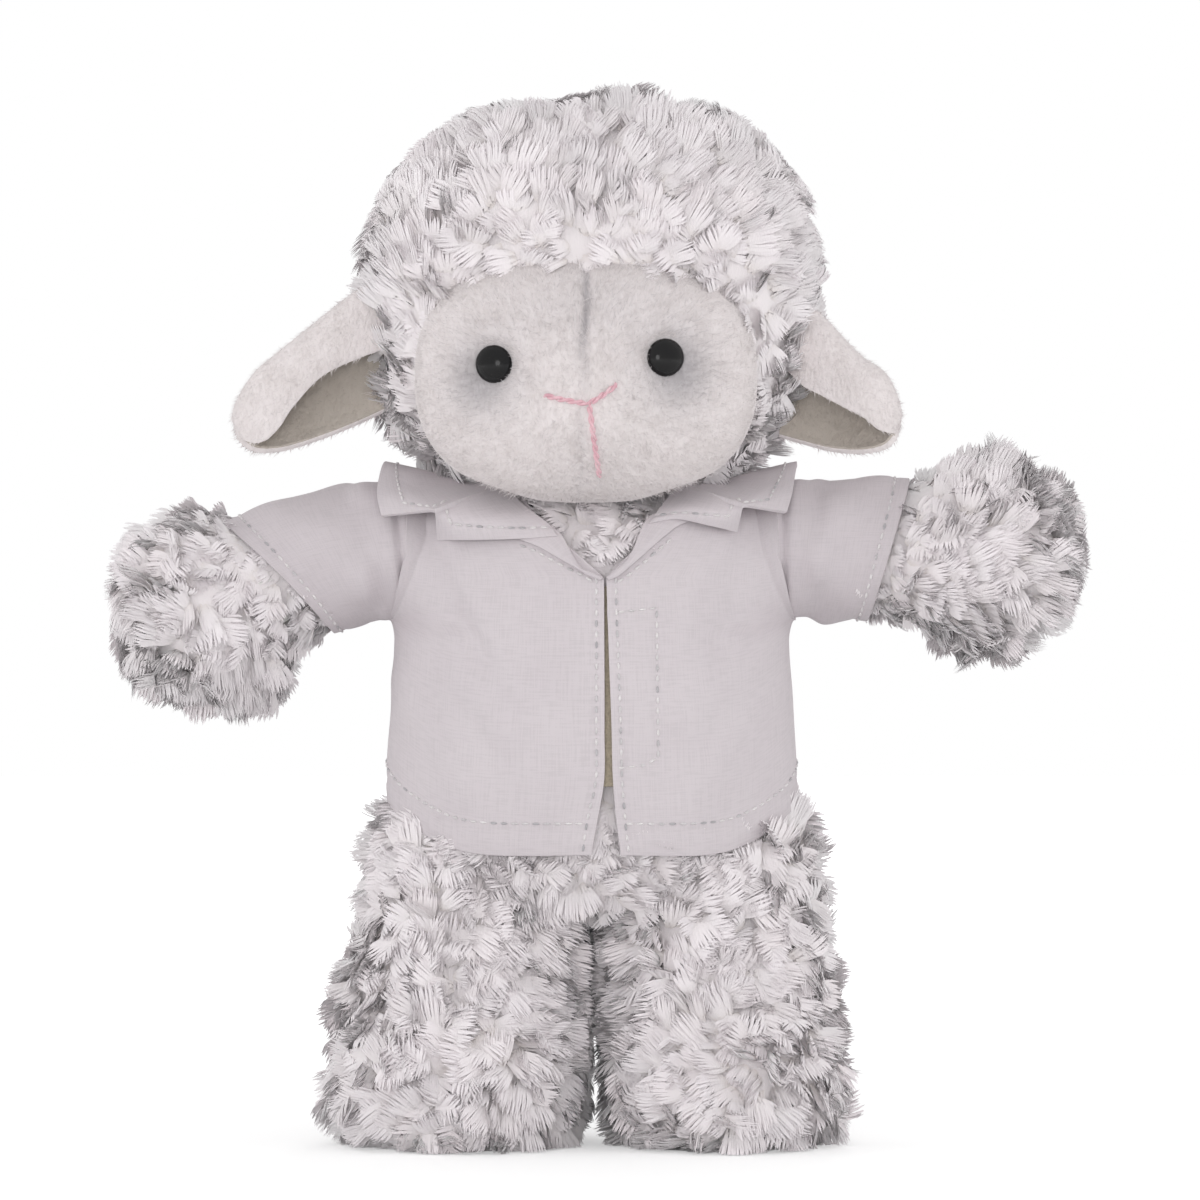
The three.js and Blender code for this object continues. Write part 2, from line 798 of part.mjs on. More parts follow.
function sleeveShape(side) {
  const cuff = cuffs[side.name];
  const place = (u, v) => {
    const along = THREE.MathUtils.lerp(-sleeve.seat, cuff, v);
    const { centre, upward } = armSpot(side, along);
    const angle = side.sign * u * 2 * Math.PI;
    const radius = sleeveRadius(along);
    const point = centre.clone().addScaledVector(upward, radius * Math.cos(angle));
    point.y += radius * Math.sin(angle);
    return point;
  };
  return sheet(place, steps.sleeve, steps.cuff, 0, -clothWall, true);
}

function sleeveSweep(side) {
  const radius = sleeveRadius(cuffs[side.name]) + clothWall + jointGap;
  const start = arms[side.name].startAngle;
  const low = radians(start + shoulderRange.lowestAngle);
  const high = radians(start + shoulderRange.highestAngle);
  const fan = sweptLimb(radius, cuffs[side.name], low, high);
  if (side.sign < 0) fan.rotateZ(Math.PI);
  const centre = armSpot(side, 0).centre;
  return fan.translate(centre.x, centre.y, centre.z);
}

// Legs
function legRing(side, height, inset, around) {
  const foot = feet[side.name];
  const hipX = side.sign * leg.hipX;
  const low = smooth(leg.kneeHeight, leg.footHeight, height);
  const down = smooth(leg.hipZ, leg.footHeight, height);
  const centreX = THREE.MathUtils.lerp(hipX, foot.x, down);
  const centreY = leg.hipY - leg.footForward * low;
  const width = THREE.MathUtils.lerp(leg.shankRadius, foot.halfWidth, down) - inset;
  const depth = THREE.MathUtils.lerp(leg.shankRadius, leg.footLength, low) - inset;
  const under = (leg.footHeight - height) / (leg.footHeight + leg.soleCut);
  const share = height < leg.footHeight ? rounded(Math.min(1, under), leg.solePower) : 1;
  const ring = [];
  for (let i = 0; i < around; i += 1) {
    const spot = oval((i / around) * 2 * Math.PI, width * share, depth * share, 2);
    ring.push(new THREE.Vector3(centreX + spot.x, centreY + spot.y, height));
  }
  return ring;
}

function hipRing(side, rise, inset, around) {
  const radius = leg.ballRadius - inset;
  const ring = [];
  for (let i = 0; i < around; i += 1) {
    const width = radius * Math.cos(rise);
    const spot = oval((i / around) * 2 * Math.PI, width, width, 2);
    const point = new THREE.Vector3(side.sign * leg.hipX + spot.x, leg.hipY + spot.y, leg.hipZ);
    point.z += radius * Math.sin(rise);
    ring.push(point);
  }
  return ring;
}

function legForm(side, inset, around = steps.limb, moundShare = () => 0) {
  const rings = [];
  const sole = inset - leg.soleCut;
  const levels = around / 4;
  for (let r = 0; r <= levels; r += 1) {
    const share = 1 - Math.cos((quarter * Math.max(r, leg.soleShare)) / levels);
    const height = THREE.MathUtils.lerp(sole, leg.footHeight, share);
    rings.push(legRing(side, height, inset, around));
  }
  for (let r = 1; r < levels; r += 1) {
    const height = THREE.MathUtils.lerp(leg.footHeight, leg.hipZ, r / levels);
    rings.push(legRing(side, height, inset, around));
  }
  for (const ring of rings) {
    for (const point of ring) {
      const middle = new THREE.Vector3(feet[side.name].x, leg.hipY - leg.footForward, point.z);
      raise(point, middle, moundShare(point));
    }
  }
  for (let r = 0; r < levels; r += 1) {
    rings.push(hipRing(side, (quarter * r) / levels, inset, around));
  }
  return loft(rings);
}

// The mounds fade out at the sole, at the hip and between the legs
function legMoundShare(side, point) {
  const outward = side.sign * (point.x - feet[side.name].x);
  const tall = smooth(0, mounds.fade, point.z) * smooth(leg.hipZ - mounds.fade, leg.kneeHeight, point.z);
  return tall * smooth(-leg.shankRadius, 0, outward);
}

// The mounds fade out at the cuff
function pawMoundShare(side, along) {
  const cuff = cuffs[side.name];
  return smooth(cuff, cuff + mounds.fade, along);
}

function ground() {
  const wide = 4 * overrun;
  return block(new THREE.Vector3(-wide, -wide, -overrun), new THREE.Vector3(wide, wide, 0));
}

function hipSweep(side) {
  const low = radians(hipRange.lowestAngle) - quarter;
  const high = radians(hipRange.highestAngle) - quarter;
  const fan = sweptLimb(leg.ballRadius + jointGap, leg.hipZ - leg.kneeHeight, low, high);
  fan.rotateZ(-quarter);
  return fan.translate(side.sign * leg.hipX, leg.hipY, leg.hipZ);
}

// Tail: a short drop sewn to the seat
function tailForm() {
  const rings = [];
  const lean = radians(tail.leanAngle);
  for (let r = 1; r < steps.ear; r += 1) {
    const share = r / steps.ear;
    const radius = tail.radius * Math.sqrt(Math.sin(Math.PI * share ** tail.dropPower));
    const centreY = tail.rootY + Math.sin(lean) * tail.length * share;
    const centreZ = tail.rootZ - Math.cos(lean) * tail.length * share;
    const ring = [];
    for (let i = 0; i < steps.limb / 2; i += 1) {
      const spot = oval((i / (steps.limb / 2)) * 2 * Math.PI, radius, radius, 2);
      const y = centreY + spot.y * Math.cos(lean);
      ring.push(new THREE.Vector3(spot.x, y, centreZ + spot.y * Math.sin(lean)));
    }
    rings.push(ring);
  }
  return loft(rings);
}

// Coat: the cloth hangs at the pile's room outside the torso, in soft folds
function shareOfHeight(height) {
  let low = 0;
  let high = torso.slopeShare;
  for (let i = 0; i < torso.searchRounds; i += 1) {
    const middle = (low + high) / 2;
    if (torsoCurve.getPoint(middle).z < height) low = middle;
    else high = middle;
  }
  return low;
}

function hemHeight(angle) {
  const back = Math.cos(angle) < 0 ? coat.hemBack : coat.hemFront;
  return THREE.MathUtils.lerp(back, coat.hemSide, Math.abs(Math.sin(angle)) ** coat.hemPower);
}

function clothLift(angle, share, lift) {
  const low = shareOfHeight(coat.hemSide);
  const hang = smooth(coat.neckShare * coat.foldTopShare, low, share);
  const folds = coat.foldDepth * hang * (1 - Math.cos(coat.foldCount * angle)) / 2;
  return pileRoom + lift + folds;
}

function coatPoint(angle, share, lift) {
  return torsoPoint(angle, share, clothLift(angle, share, lift));
}

function angleAcross(x, share) {
  const width = torsoCurve.getPoint(share).x + pileRoom;
  return Math.asin(signedPower(THREE.MathUtils.clamp(x / width, -1, 1), torso.power / 2));
}

// Where a front's free edge runs: up the middle, then out along the V
function edgeAcross(side, height) {
  const own = frontEdges[side.name];
  if (height > coat.vBottom) {
    const open = Math.min(coat.vOverShare, (height - coat.vBottom) / (coat.topZ - coat.vBottom));
    return THREE.MathUtils.lerp(own.top, coat.vCentre + side.sign * coat.vHalf, open);
  }
  const waist = (coat.vBottom + coat.hemFront) / 2;
  if (height > waist) {
    return THREE.MathUtils.lerp(own.waist, own.top, (height - waist) / (coat.vBottom - waist));
  }
  return THREE.MathUtils.lerp(own.hem, own.waist, (height - coat.hemFront) / (waist - coat.hemFront));
}

function frontShape(side) {
  const seam = side.sign * (radians(coat.sideSeamAngle) - seamGap / (2 * torsoRings.waist.width));
  const place = (u, v) => {
    const low = shareOfHeight(hemHeight(seam * u));
    const share = THREE.MathUtils.lerp(low, coat.neckShare, v);
    const height = torsoCurve.getPoint(share).z;
    const edge = angleAcross(edgeAcross(side, height), share);
    return coatPoint(THREE.MathUtils.lerp(edge, seam, u), share, 0);
  };
  return sheet(place, steps.across, steps.hang, 0, side.sign * clothWall);
}

function backShape() {
  const seam = radians(coat.sideSeamAngle) + seamGap / (2 * torsoRings.waist.width);
  const place = (u, v) => {
    const angle = THREE.MathUtils.lerp(seam, 2 * Math.PI - seam, u);
    const low = shareOfHeight(hemHeight(angle));
    return coatPoint(angle, THREE.MathUtils.lerp(low, coat.neckShare, v), 0);
  };
  return sheet(place, steps.back, steps.hang, 0, clothWall);
}

// The facing turns back over the front's V edge and widens into a notched wing
function facingShape(side) {
  const rows = [
    { height: coat.vBottom + seamGap, wide: seamGap },
    { height: (coat.vBottom + facing.wingLow) / 2, wide: facing.band / 2 },
    { height: facing.wingLow - seamGap, wide: facing.band },
    { height: facing.wingLow, wide: facing.wing },
    { height: facing.top, wide: facing.wing },
  ];
  const place = (u, v) => {
    const row = rows[Math.round(v * (rows.length - 1))];
    const share = shareOfHeight(row.height);
    const near = edgeAcross(side, row.height);
    const far = row.wide === facing.wing ? side.sign * facing.wing : near + side.sign * row.wide;
    const x = THREE.MathUtils.lerp(near, far, u);
    return coatPoint(angleAcross(x, share), share, 0);
  };
  const lift = clothWall + coat.ply;
  return sheet(place, steps.cup, rows.length - 1, side.sign * lift, side.sign * (lift + clothWall));
}

function collarShape() {
  const start = radians(collar.notchAngle);
  const place = (u, v) => {
    const angle = THREE.MathUtils.lerp(start, 2 * Math.PI - start, u);
    const inner = oval(angle, collar.innerWidth, collar.innerDepth, 2);
    const outer = oval(angle, collar.outerWidth, collar.outerDepth, torso.power);
    const turned = Math.abs(Math.PI - angle);
    const fromFront = smooth(radians(collar.frontFallAngle), radians(collar.frontTopAngle), turned);
    const fromBack = smooth(radians(collar.backFallAngle), radians(collar.backTopAngle), turned);
    const fall = turned > quarter ? collar.frontZ : collar.backZ;
    const outerZ = THREE.MathUtils.lerp(fall, collar.sideZ, fromFront * fromBack);
    const from = new THREE.Vector3(inner.x, torso.centreY + inner.y, collar.innerZ);
    const to = new THREE.Vector3(outer.x, torso.centreY + outer.y, outerZ);
    const roll = from.clone().lerp(to, collar.rollShare).setZ(Math.max(collar.rollZ, outerZ));
    return new THREE.QuadraticBezierCurve3(from, roll, to).getPoint(v);
  };
  return sheet(place, steps.collar, steps.roll, 0, -clothWall);
}

function stripShape(from, width, low, high, lift, wall) {
  const place = (u, v) => {
    const share = shareOfHeight(THREE.MathUtils.lerp(low, high, v));
    return coatPoint(angleAcross(from + width * u, share), share, lift);
  };
  return sheet(place, steps.cup, steps.ear, 0, wall);
}

// The finished pieces
const sheep = new THREE.Group();
const finishes = Object.fromEntries(
  Object.entries(colours).map(([name, look]) => [name, new THREE.MeshStandardMaterial(look)]),
);

function add(name, shape, finish, frame) {
  const geometry = shape.index ? shape : toGeometry(toSolid(shape));
  geometry.computeVertexNormals();
  const mesh = new THREE.Mesh(geometry, finishes[finish]);
  mesh.name = name;
  if (frame) {
    mesh.position.copy(frame.position);
    mesh.quaternion.copy(frame.quaternion);
  }
  sheep.add(mesh);
}

const headRoom = headSweep();
const sleeveSweeps = sides.map(sleeveSweep);
const hipSweeps = sides.map(hipSweep);

function addTorso() {
  const neckHole = new THREE.CylinderGeometry(neck.seamRadius, neck.seamRadius, overrun, steps.limb);
  neckHole.rotateX(quarter).translate(0, head.centreY, torsoRings.top.height);
  const limbs = [...sleeveSweeps, ...hipSweeps, headRoom];
  add('torso_skin', cut(torsoForm(0), torsoForm(woolWall, steps.torso / 2), neckHole, ...limbs), 'wool');
  add('torso_stuffing', cut(torsoForm(woolWall + seamGap, steps.torso / 2), ...limbs), 'filling');
  add('tail', cut(tailForm(), torsoForm(-seamGap)), 'wool');
}

function addHead() {
  const frames = sides.map((side) => eyeFrame(eyes[side.name]));
  const holes = frames.map((frame) => eyeHole(frame, eye.stemRadius + seamGap));
  const yarnHoles = Object.values(nosePaths).map((path) => yarnShape(path, yarn.radius + seamGap));
  const washerRoom = frames.map((frame) => eyeHole(frame, eye.washerRadius + seamGap));
  const neckHole = new THREE.CylinderGeometry(neck.seamRadius, neck.seamRadius, overrun, steps.limb);
  neckHole.rotateX(quarter).translate(0, head.centreY, head.centreZ - head.lowerHeight);
  const faceRoom = faceForm(-seamGap, faceBack + seamGap);
  const outside = join(headForm(0, steps.hood, headMoundShare), jawForm(0));
  const hollow = join(headForm(woolWall, steps.head / 2), jawForm(woolWall, steps.limb / 2));
  add('head_wool', cut(outside, hollow, faceRoom, neckHole), 'wool');
  const deep = woolWall + seamGap;
  const skull = join(headForm(deep, steps.head / 2), jawForm(deep, steps.limb / 2));
  const cheeks = faceForm(faceWall + seamGap, faceBack - face.chinForward, steps.head / 2);
  const plug = faceForm(face.plugInset, faceBack + overrun / 2, steps.head / 2);
  const inside = join(join(cut(skull, faceRoom), cheeks), plug);
  add('head_stuffing', cut(inside, ...washerRoom, ...yarnHoles), 'filling');
  sides.forEach((side, i) => {
    add(`face_panel_${side.name}`, facePanel(side.sign, [...holes, ...yarnHoles]), 'fleece');
    add(`eye_${side.name}`, eyeShape(), 'glass', frames[i]);
    add(`eye_washer_${side.name}`, washerShape(), 'washer', frames[i]);
    const half = seamGap / 2;
    add(`ear_outer_${side.name}`, earLayer(side, half, half + ear.wall), 'fleece');
    add(`ear_lining_${side.name}`, earLayer(side, -half, -half - ear.wall), 'lining');
  });
  for (const [name, path] of Object.entries(nosePaths)) {
    add(name, yarnShape(path, yarn.radius), 'pinkYarn');
  }
}

function addLimbs() {
  for (const side of sides) {
    const shoulder = armSpot(side, -arm.ballRadius).centre;
    const armHole = new THREE.CylinderGeometry(arm.rootHole, arm.rootHole, arm.ballRadius, steps.lathe);
    armHole.rotateZ(quarter).translate(shoulder.x, shoulder.y, shoulder.z);
    const legHole = new THREE.CylinderGeometry(leg.rootHole, leg.rootHole, leg.ballRadius, steps.lathe);
    legHole.rotateX(quarter).translate(side.sign * leg.hipX, leg.hipY, leg.hipZ + leg.ballRadius);
    const inside = steps.limb / 2;
    const armPile = armForm(side, 0, steps.limb, (along) => pawMoundShare(side, along));
    const armSkin = cut(armPile, armForm(side, woolWall, inside), armHole);
    add(`arm_skin_${side.name}`, armSkin, 'wool');
    add(`arm_stuffing_${side.name}`, armForm(side, woolWall + seamGap, inside), 'filling');
    add(`sleeve_${side.name}`, sleeveShape(side), 'cotton');
    const legPile = legForm(side, 0, steps.shank, (point) => legMoundShare(side, point));
    const legSkin = cut(legPile, legForm(side, woolWall, inside), legHole, ground());
    add(`leg_skin_${side.name}`, legSkin, 'wool');
    add(`leg_stuffing_${side.name}`, legForm(side, woolWall + seamGap, inside), 'filling');
  }
}

function addCoat() {
  const openings = [...sleeveSweeps, headRoom];
  for (const side of sides) {
    add(`coat_front_${side.name}`, cut(frontShape(side), ...openings), 'cotton');
    add(`facing_${side.name}`, cut(facingShape(side), ...openings), 'cotton');
  }
  add('coat_back', cut(backShape(), ...openings), 'cotton');
  add('collar', cut(collarShape(), ...openings), 'cotton');
  const hookLift = -seamGap - strip.wall;
  const hook = stripShape(strip.hookX, strip.width, strip.low, strip.high, hookLift, strip.wall);
  add('hook_strip', hook, 'hooks');
  const loopLift = hookLift - seamGap - strip.wall;
  const loop = stripShape(underlap.x, underlap.width, underlap.low, underlap.high, loopLift, strip.wall);
  add('loop_strip', loop, 'loops');
}

addTorso();
addHead();
addLimbs();
addCoat();

export default sheep;
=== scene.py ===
# %% [markdown]
# A plush sheep in a cotton coat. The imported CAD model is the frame: its solids say where each
# piece is and which body it moves with. This lesson dresses that frame with what the eye sees:
# curly wool, a short-pile face, glossy eyes, stitched yarn, floppy ears and a sewn coat.

# %% Load the frame
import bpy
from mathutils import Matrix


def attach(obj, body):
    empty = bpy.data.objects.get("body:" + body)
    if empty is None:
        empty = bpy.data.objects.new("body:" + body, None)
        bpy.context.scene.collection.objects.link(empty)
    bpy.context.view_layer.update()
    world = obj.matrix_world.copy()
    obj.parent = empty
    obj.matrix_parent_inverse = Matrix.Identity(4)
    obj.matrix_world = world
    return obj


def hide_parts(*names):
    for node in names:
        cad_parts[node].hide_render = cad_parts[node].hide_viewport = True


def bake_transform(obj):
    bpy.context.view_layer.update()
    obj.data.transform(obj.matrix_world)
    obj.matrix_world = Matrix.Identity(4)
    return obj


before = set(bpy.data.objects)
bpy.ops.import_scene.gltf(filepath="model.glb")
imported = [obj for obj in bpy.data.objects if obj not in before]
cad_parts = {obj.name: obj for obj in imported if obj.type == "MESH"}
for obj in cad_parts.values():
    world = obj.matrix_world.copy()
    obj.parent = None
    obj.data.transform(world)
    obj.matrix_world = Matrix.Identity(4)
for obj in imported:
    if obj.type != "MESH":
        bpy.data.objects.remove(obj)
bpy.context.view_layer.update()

import math

import bpy
import numpy as np
from mathutils import Matrix, Vector, kdtree

MM = 0.001

# %% [markdown]
# The toy was photographed from straight in front with a long lens, on white. The camera stands
# as far off as such a lens asks for, so that one pixel of a 1200-pixel picture is 0.2385 mm on
# the toy. The floor and the world are pure white to the camera alone. What lights the toy is a
# dimmer world and five soft lamps: in front, at either side, near the ground and behind.

# %% Camera, floor and light
PIXEL = 0.2385 * MM
MIDDLE_X = 592
GROUND_Y = 1150
PICTURE = 1200
LENS = 180
SENSOR = 36
DEPTH_IN_FOCUS = -18 * MM
FLOOR_SIZE = 6
FLOOR_COLOUR = (0.78, 0.78, 0.78, 1)
# distances from the middle where the floor's own glow starts and ends, and its strengths there
FLOOR_GLOW = (0.1, 0.9, 0.42, 0.8)
WORLD_LIGHT = 0.72
WHITE = (1, 1, 1, 1)
LAMP_AIM = (0, 0, 0.13)
FRONT_LAMP = dict(place=(-0.25, -1.5, 0.2), size=0.5, power=2.6)
FILL_LAMP_SIZE = 0.8
FILL_LAMPS = {
    "left_lamp": ((-1.25, -0.55, 0.12), 4.4),
    "right_lamp": ((1.25, -0.55, 0.12), 4.4),
    "low_lamp": ((0.0, -1.3, 0.03), 3.4),
    "back_lamp": ((0.3, 1.6, 0.4), 6.0),
}

scene = bpy.context.scene
scene.view_settings.view_transform = "Standard"

camera_data = bpy.data.cameras.new("camera")
camera_data.lens = LENS
camera_data.sensor_width = SENSOR
camera = bpy.data.objects.new("camera", camera_data)
scene.collection.objects.link(camera)
distance = PICTURE * PIXEL * LENS / SENSOR
camera.location = (
    (PICTURE / 2 - MIDDLE_X) * PIXEL,
    DEPTH_IN_FOCUS - distance,
    (GROUND_Y - PICTURE / 2) * PIXEL,
)
camera.rotation_euler = (math.radians(90), 0, 0)
scene.camera = camera


def link(tree, *pairs):
    for output, value in pairs:
        tree.links.new(output, value)


def seen_directly(tree):
    """1 for rays that show the background: from the camera, from gloss or through glass."""
    path = tree.nodes.new("ShaderNodeLightPath")
    total = None
    for name in ("Is Camera Ray", "Is Glossy Ray", "Is Transmission Ray"):
        if total is None:
            total = path.outputs[name]
            continue
        most = tree.nodes.new("ShaderNodeMath")
        most.operation = "MAXIMUM"
        link(tree, (total, most.inputs[0]), (path.outputs[name], most.inputs[1]))
        total = most.outputs[0]
    return total


def add(kind, **settings):
    """A new primitive, which is the only thing selected."""
    bpy.ops.object.select_all(action="DESELECT")
    getattr(bpy.ops.mesh, "primitive_" + kind + "_add")(**settings)
    return bpy.context.active_object


def only(*pieces):
    """Selects these pieces and nothing else, with the first as the active one."""
    bpy.ops.object.select_all(action="DESELECT")
    for piece in pieces:
        piece.select_set(True)
    bpy.context.view_layer.objects.active = pieces[0]


def white_floor():
    floor = add("plane", size=FLOOR_SIZE, location=(0, 0, 0))
    floor.name = "floor"
    material = bpy.data.materials.new("pale_floor")
    material.use_nodes = True
    tree = material.node_tree
    shader = tree.nodes["Principled BSDF"]
    shader.inputs["Base Color"].default_value = FLOOR_COLOUR
    shader.inputs["Roughness"].default_value = 0.9
    shader.inputs["Specular IOR Level"].default_value = 0.1
    shader.inputs["Emission Color"].default_value = WHITE
    place = tree.nodes.new("ShaderNodeTexCoord")
    away = tree.nodes.new("ShaderNodeVectorMath")
    away.operation = "LENGTH"
    spread = tree.nodes.new("ShaderNodeMapRange")
    spread.interpolation_type = "SMOOTHSTEP"
    for value, number in zip(spread.inputs[1:5], FLOOR_GLOW):
        value.default_value = number
    glow = tree.nodes.new("ShaderNodeMath")
    glow.operation = "MULTIPLY"
    link(tree, (place.outputs["Object"], away.inputs[0]))
    link(tree, (away.outputs["Value"], spread.inputs[0]))
    link(tree, (seen_directly(tree), glow.inputs[0]), (spread.outputs[0], glow.inputs[1]))
    link(tree, (glow.outputs[0], shader.inputs["Emission Strength"]))
    floor.data.materials.append(material)


def white_world():
    world = bpy.data.worlds.new("white_world")
    scene.world = world
    world.use_nodes = True
    tree = world.node_tree
    ground = tree.nodes["Background"]
    ground.inputs["Color"].default_value = WHITE
    ground.inputs["Strength"].default_value = WORLD_LIGHT
    white = tree.nodes.new("ShaderNodeBackground")
    white.inputs["Strength"].default_value = 1
    white.inputs["Color"].default_value = WHITE
    mix = tree.nodes.new("ShaderNodeMixShader")
    link(tree, (seen_directly(tree), mix.inputs[0]))
    link(tree, (ground.outputs[0], mix.inputs[1]), (white.outputs[0], mix.inputs[2]))
    link(tree, (mix.outputs[0], tree.nodes["World Output"].inputs[0]))


def soft_lamp(name, place, size, power):
    data = bpy.data.lights.new(name, "AREA")
    data.shape = "DISK"
    data.size = size
    data.energy = power
    lamp = bpy.data.objects.new(name, data)
    scene.collection.objects.link(lamp)
    lamp.location = place
    aim = Vector(LAMP_AIM) - Vector(place)
    lamp.rotation_euler = aim.to_track_quat("-Z", "Y").to_euler()
    return lamp


white_floor()
white_world()
soft_lamp("front_lamp", **FRONT_LAMP)
for name, (place, power) in FILL_LAMPS.items():
    soft_lamp(name, place, FILL_LAMP_SIZE, power).visible_glossy = False
print("camera at", [round(x, 3) for x in camera.location])

# %% [markdown]
# The body is stuffed skins of curly wool. Under the curls each skin is a smooth swelling form,
# so every one of them starts as a sphere and is pushed into shape ring by ring. The sizes are
# the CAD's: half widths, half depths and heights in millimetres, with the curls' roots set a
# few millimetres inside the solid's skin and their tips a few outside it.

# %% Shapes of the stuffed forms
def smooth(start, end, value):
    share = np.clip((np.asarray(value, float) - start) / (end - start), 0, 1)
    return share * share * (3 - 2 * share)


def mix(first, second, share):
    return first + (second - first) * share


def rounded(share, power):
    return np.maximum(0, 1 - np.abs(share) ** power) ** (1 / power)


def oval(angle, half_width, half_depth, power):
    """A point of a flattened oval, at an angle from the front towards the sheep's left."""
    s, c = np.sin(angle), np.cos(angle)
    x = half_width * np.sign(s) * np.abs(s) ** (2 / power)
    y = -half_depth * np.sign(c) * np.abs(c) ** (2 / power)
    return x, y


def table_curve(table, key, value):
    """A smooth curve through a table's rows: key and value are columns."""
    keys = np.array([row[0] for row in table], float)
    rows = np.array([row[key] for row in table], float)
    slopes = np.gradient(rows, keys)
    value = np.clip(value, keys[0], keys[-1])
    i = np.clip(np.searchsorted(keys, value) - 1, 0, len(keys) - 2)
    step = keys[i + 1] - keys[i]
    t = (value - keys[i]) / step
    return (
        rows[i] * (1 + 2 * t) * (1 - t) ** 2
        + rows[i + 1] * t * t * (3 - 2 * t)
        + slopes[i] * step * t * (1 - t) ** 2
        - slopes[i + 1] * step * t * t * (1 - t)
    )


def unit(vectors):
    return vectors / np.maximum(np.linalg.norm(vectors, axis=-1, keepdims=True), 1e-9)


MOUND_HEIGHT = 2.7
MOUND_PITCH = 30


def raised(points, middle, share):
    """Moves a skin's points away from a middle by a share of the wool's mounds there."""
    x, y, z = np.moveaxis(points * 2 * np.pi / MOUND_PITCH, -1, 0)
    wave = np.sin(x) * np.cos(y) + np.sin(y) * np.cos(z) + np.sin(z) * np.cos(x)
    height = MOUND_HEIGHT * np.clip((1 + wave) / 2, 0, 1)
    return points + unit(points - middle) * (share * height)[..., None]


# height, half width and half depth of the torso's skin
TORSO = [
    (55, 6, 5), (57.5, 31, 23), (62, 39, 28), (68, 43.5, 31.5),
    (86, 46.4, 34.2), (106, 45.6, 33.6), (126, 44.2, 32), (141, 43.2, 30),
    (150.5, 40.5, 26.5), (154.2, 33, 21), (156, 18, 12.5),
]
TORSO_Y = 5
TORSO_POWER = 2.35


def torso_point(angle, height, lift):
    width = table_curve(TORSO, 1, height) + lift
    depth = table_curve(TORSO, 2, height) + lift
    x, y = oval(angle, np.maximum(width, 0), np.maximum(depth, 0), TORSO_POWER)
    return np.stack([x, TORSO_Y + y, height + 0 * x], -1)


FACE = dict(x=-1.4, z=184, width=40.6, height=29.7, power=2.45, rim=-27.0)
EARS_AT = {1: (188, 14.5), -1: (190.5, 14)}
EAR_Y = -7


def face_share(x, z):
    """0 at the middle of the face and 1 on its outline."""
    across = np.abs((x - FACE["x"]) / FACE["width"]) ** FACE["power"]
    tall = np.abs((z - FACE["z"]) / FACE["height"]) ** FACE["power"]
    return (across + tall) ** (1 / FACE["power"])


HEAD = dict(half_width=52.6, depth_share=0.86, x=-0.6, y=6, z=204, up=46.2, down=48.6)
HEAD_UP_POWER = 2.7
HEAD_POWER = 2.5
HEAD_ROUND_BELOW = 164
HEAD_BOXY_ABOVE = 190


def head_point(angle, tilt, inset):
    """A point of the head's skin; tilt runs from -1 at the neck to 1 at the crown."""
    tall = np.where(tilt > 0, HEAD["up"], HEAD["down"]) - inset
    z = HEAD["z"] + tilt * tall
    boxy = smooth(HEAD_ROUND_BELOW, HEAD_BOXY_ABOVE, z)
    width = (HEAD["half_width"] - inset) * rounded(tilt, HEAD_UP_POWER)
    depth = width * mix(1, HEAD["depth_share"], boxy)
    x, y = oval(angle, width, depth, mix(2, HEAD_POWER, boxy))
    points = np.stack([HEAD["x"] * boxy + x, HEAD["y"] + y, z], -1)
    return raised(points, (HEAD["x"], HEAD["y"], HEAD["z"]), head_mounds(points))


def head_mounds(points):
    """The mounds fade out beside the face, the ears and the neck."""
    x, y, z = np.moveaxis(points, -1, 0)
    front = smooth(HEAD["y"], FACE["rim"], y)
    ear_z = np.where(x > 0, EARS_AT[1][0], EARS_AT[-1][0])
    ear_half = np.where(x > 0, EARS_AT[1][1], EARS_AT[-1][1])
    from_ear = np.hypot(y - EAR_Y, np.maximum(0, np.abs(z - ear_z) - ear_half))
    share = mix(1, smooth(1, 1.4, face_share(x, z)), front)
    return share * smooth(7, 19.2, from_ear) * smooth(172, 186, z)


SIDES = {"left": 1, "right": -1}
SHOULDER = (47, 2, 143.5)
ARM_BALL = 16
ARM_WRIST = 16.2
ARM_WRIST_AT = 27
ARM_PAW_AT = 46
ARMS = {
    "left": dict(start=1, end=-7, paw=20.8, tip=69.5, cuff=24.5, slant=4.5, reach=116.5),
    "right": dict(start=-5, end=-41, paw=22.4, tip=68, cuff=28.5, slant=8, reach=112.5),
}


def arm_spot(side, along):
    """The middle of the arm at a distance from the shoulder, and its upward direction."""
    own = ARMS[side]
    start, end = math.radians(own["start"]), math.radians(own["end"])
    bend = (end - start) / own["tip"]
    heading = start + bend * np.maximum(0, along)
    straight = np.minimum(0, along)
    x = (np.sin(heading) - math.sin(start)) / bend + straight * math.cos(start)
    z = (math.cos(start) - np.cos(heading)) / bend + straight * math.sin(start)
    sign = SIDES[side]
    centre = np.stack([sign * (SHOULDER[0] + x), SHOULDER[1] + 0 * x, SHOULDER[2] + z], -1)
    upward = np.stack([-sign * np.sin(heading), 0 * x, np.cos(heading)], -1)
    return centre, upward


def arm_radius(side, along):
    own = ARMS[side]
    upper = mix(ARM_BALL, ARM_WRIST, smooth(0, ARM_WRIST_AT, along))
    swell = upper + (own["paw"] - upper) * smooth(own["cuff"], ARM_PAW_AT, along)
    end = np.clip((along - ARM_PAW_AT) / (own["tip"] - ARM_PAW_AT), 0, 1)
    ball = np.sqrt(np.maximum(0, ARM_BALL**2 - np.minimum(0, along) ** 2))
    return np.where(along < 0, ball, swell * rounded(end, 2.2))


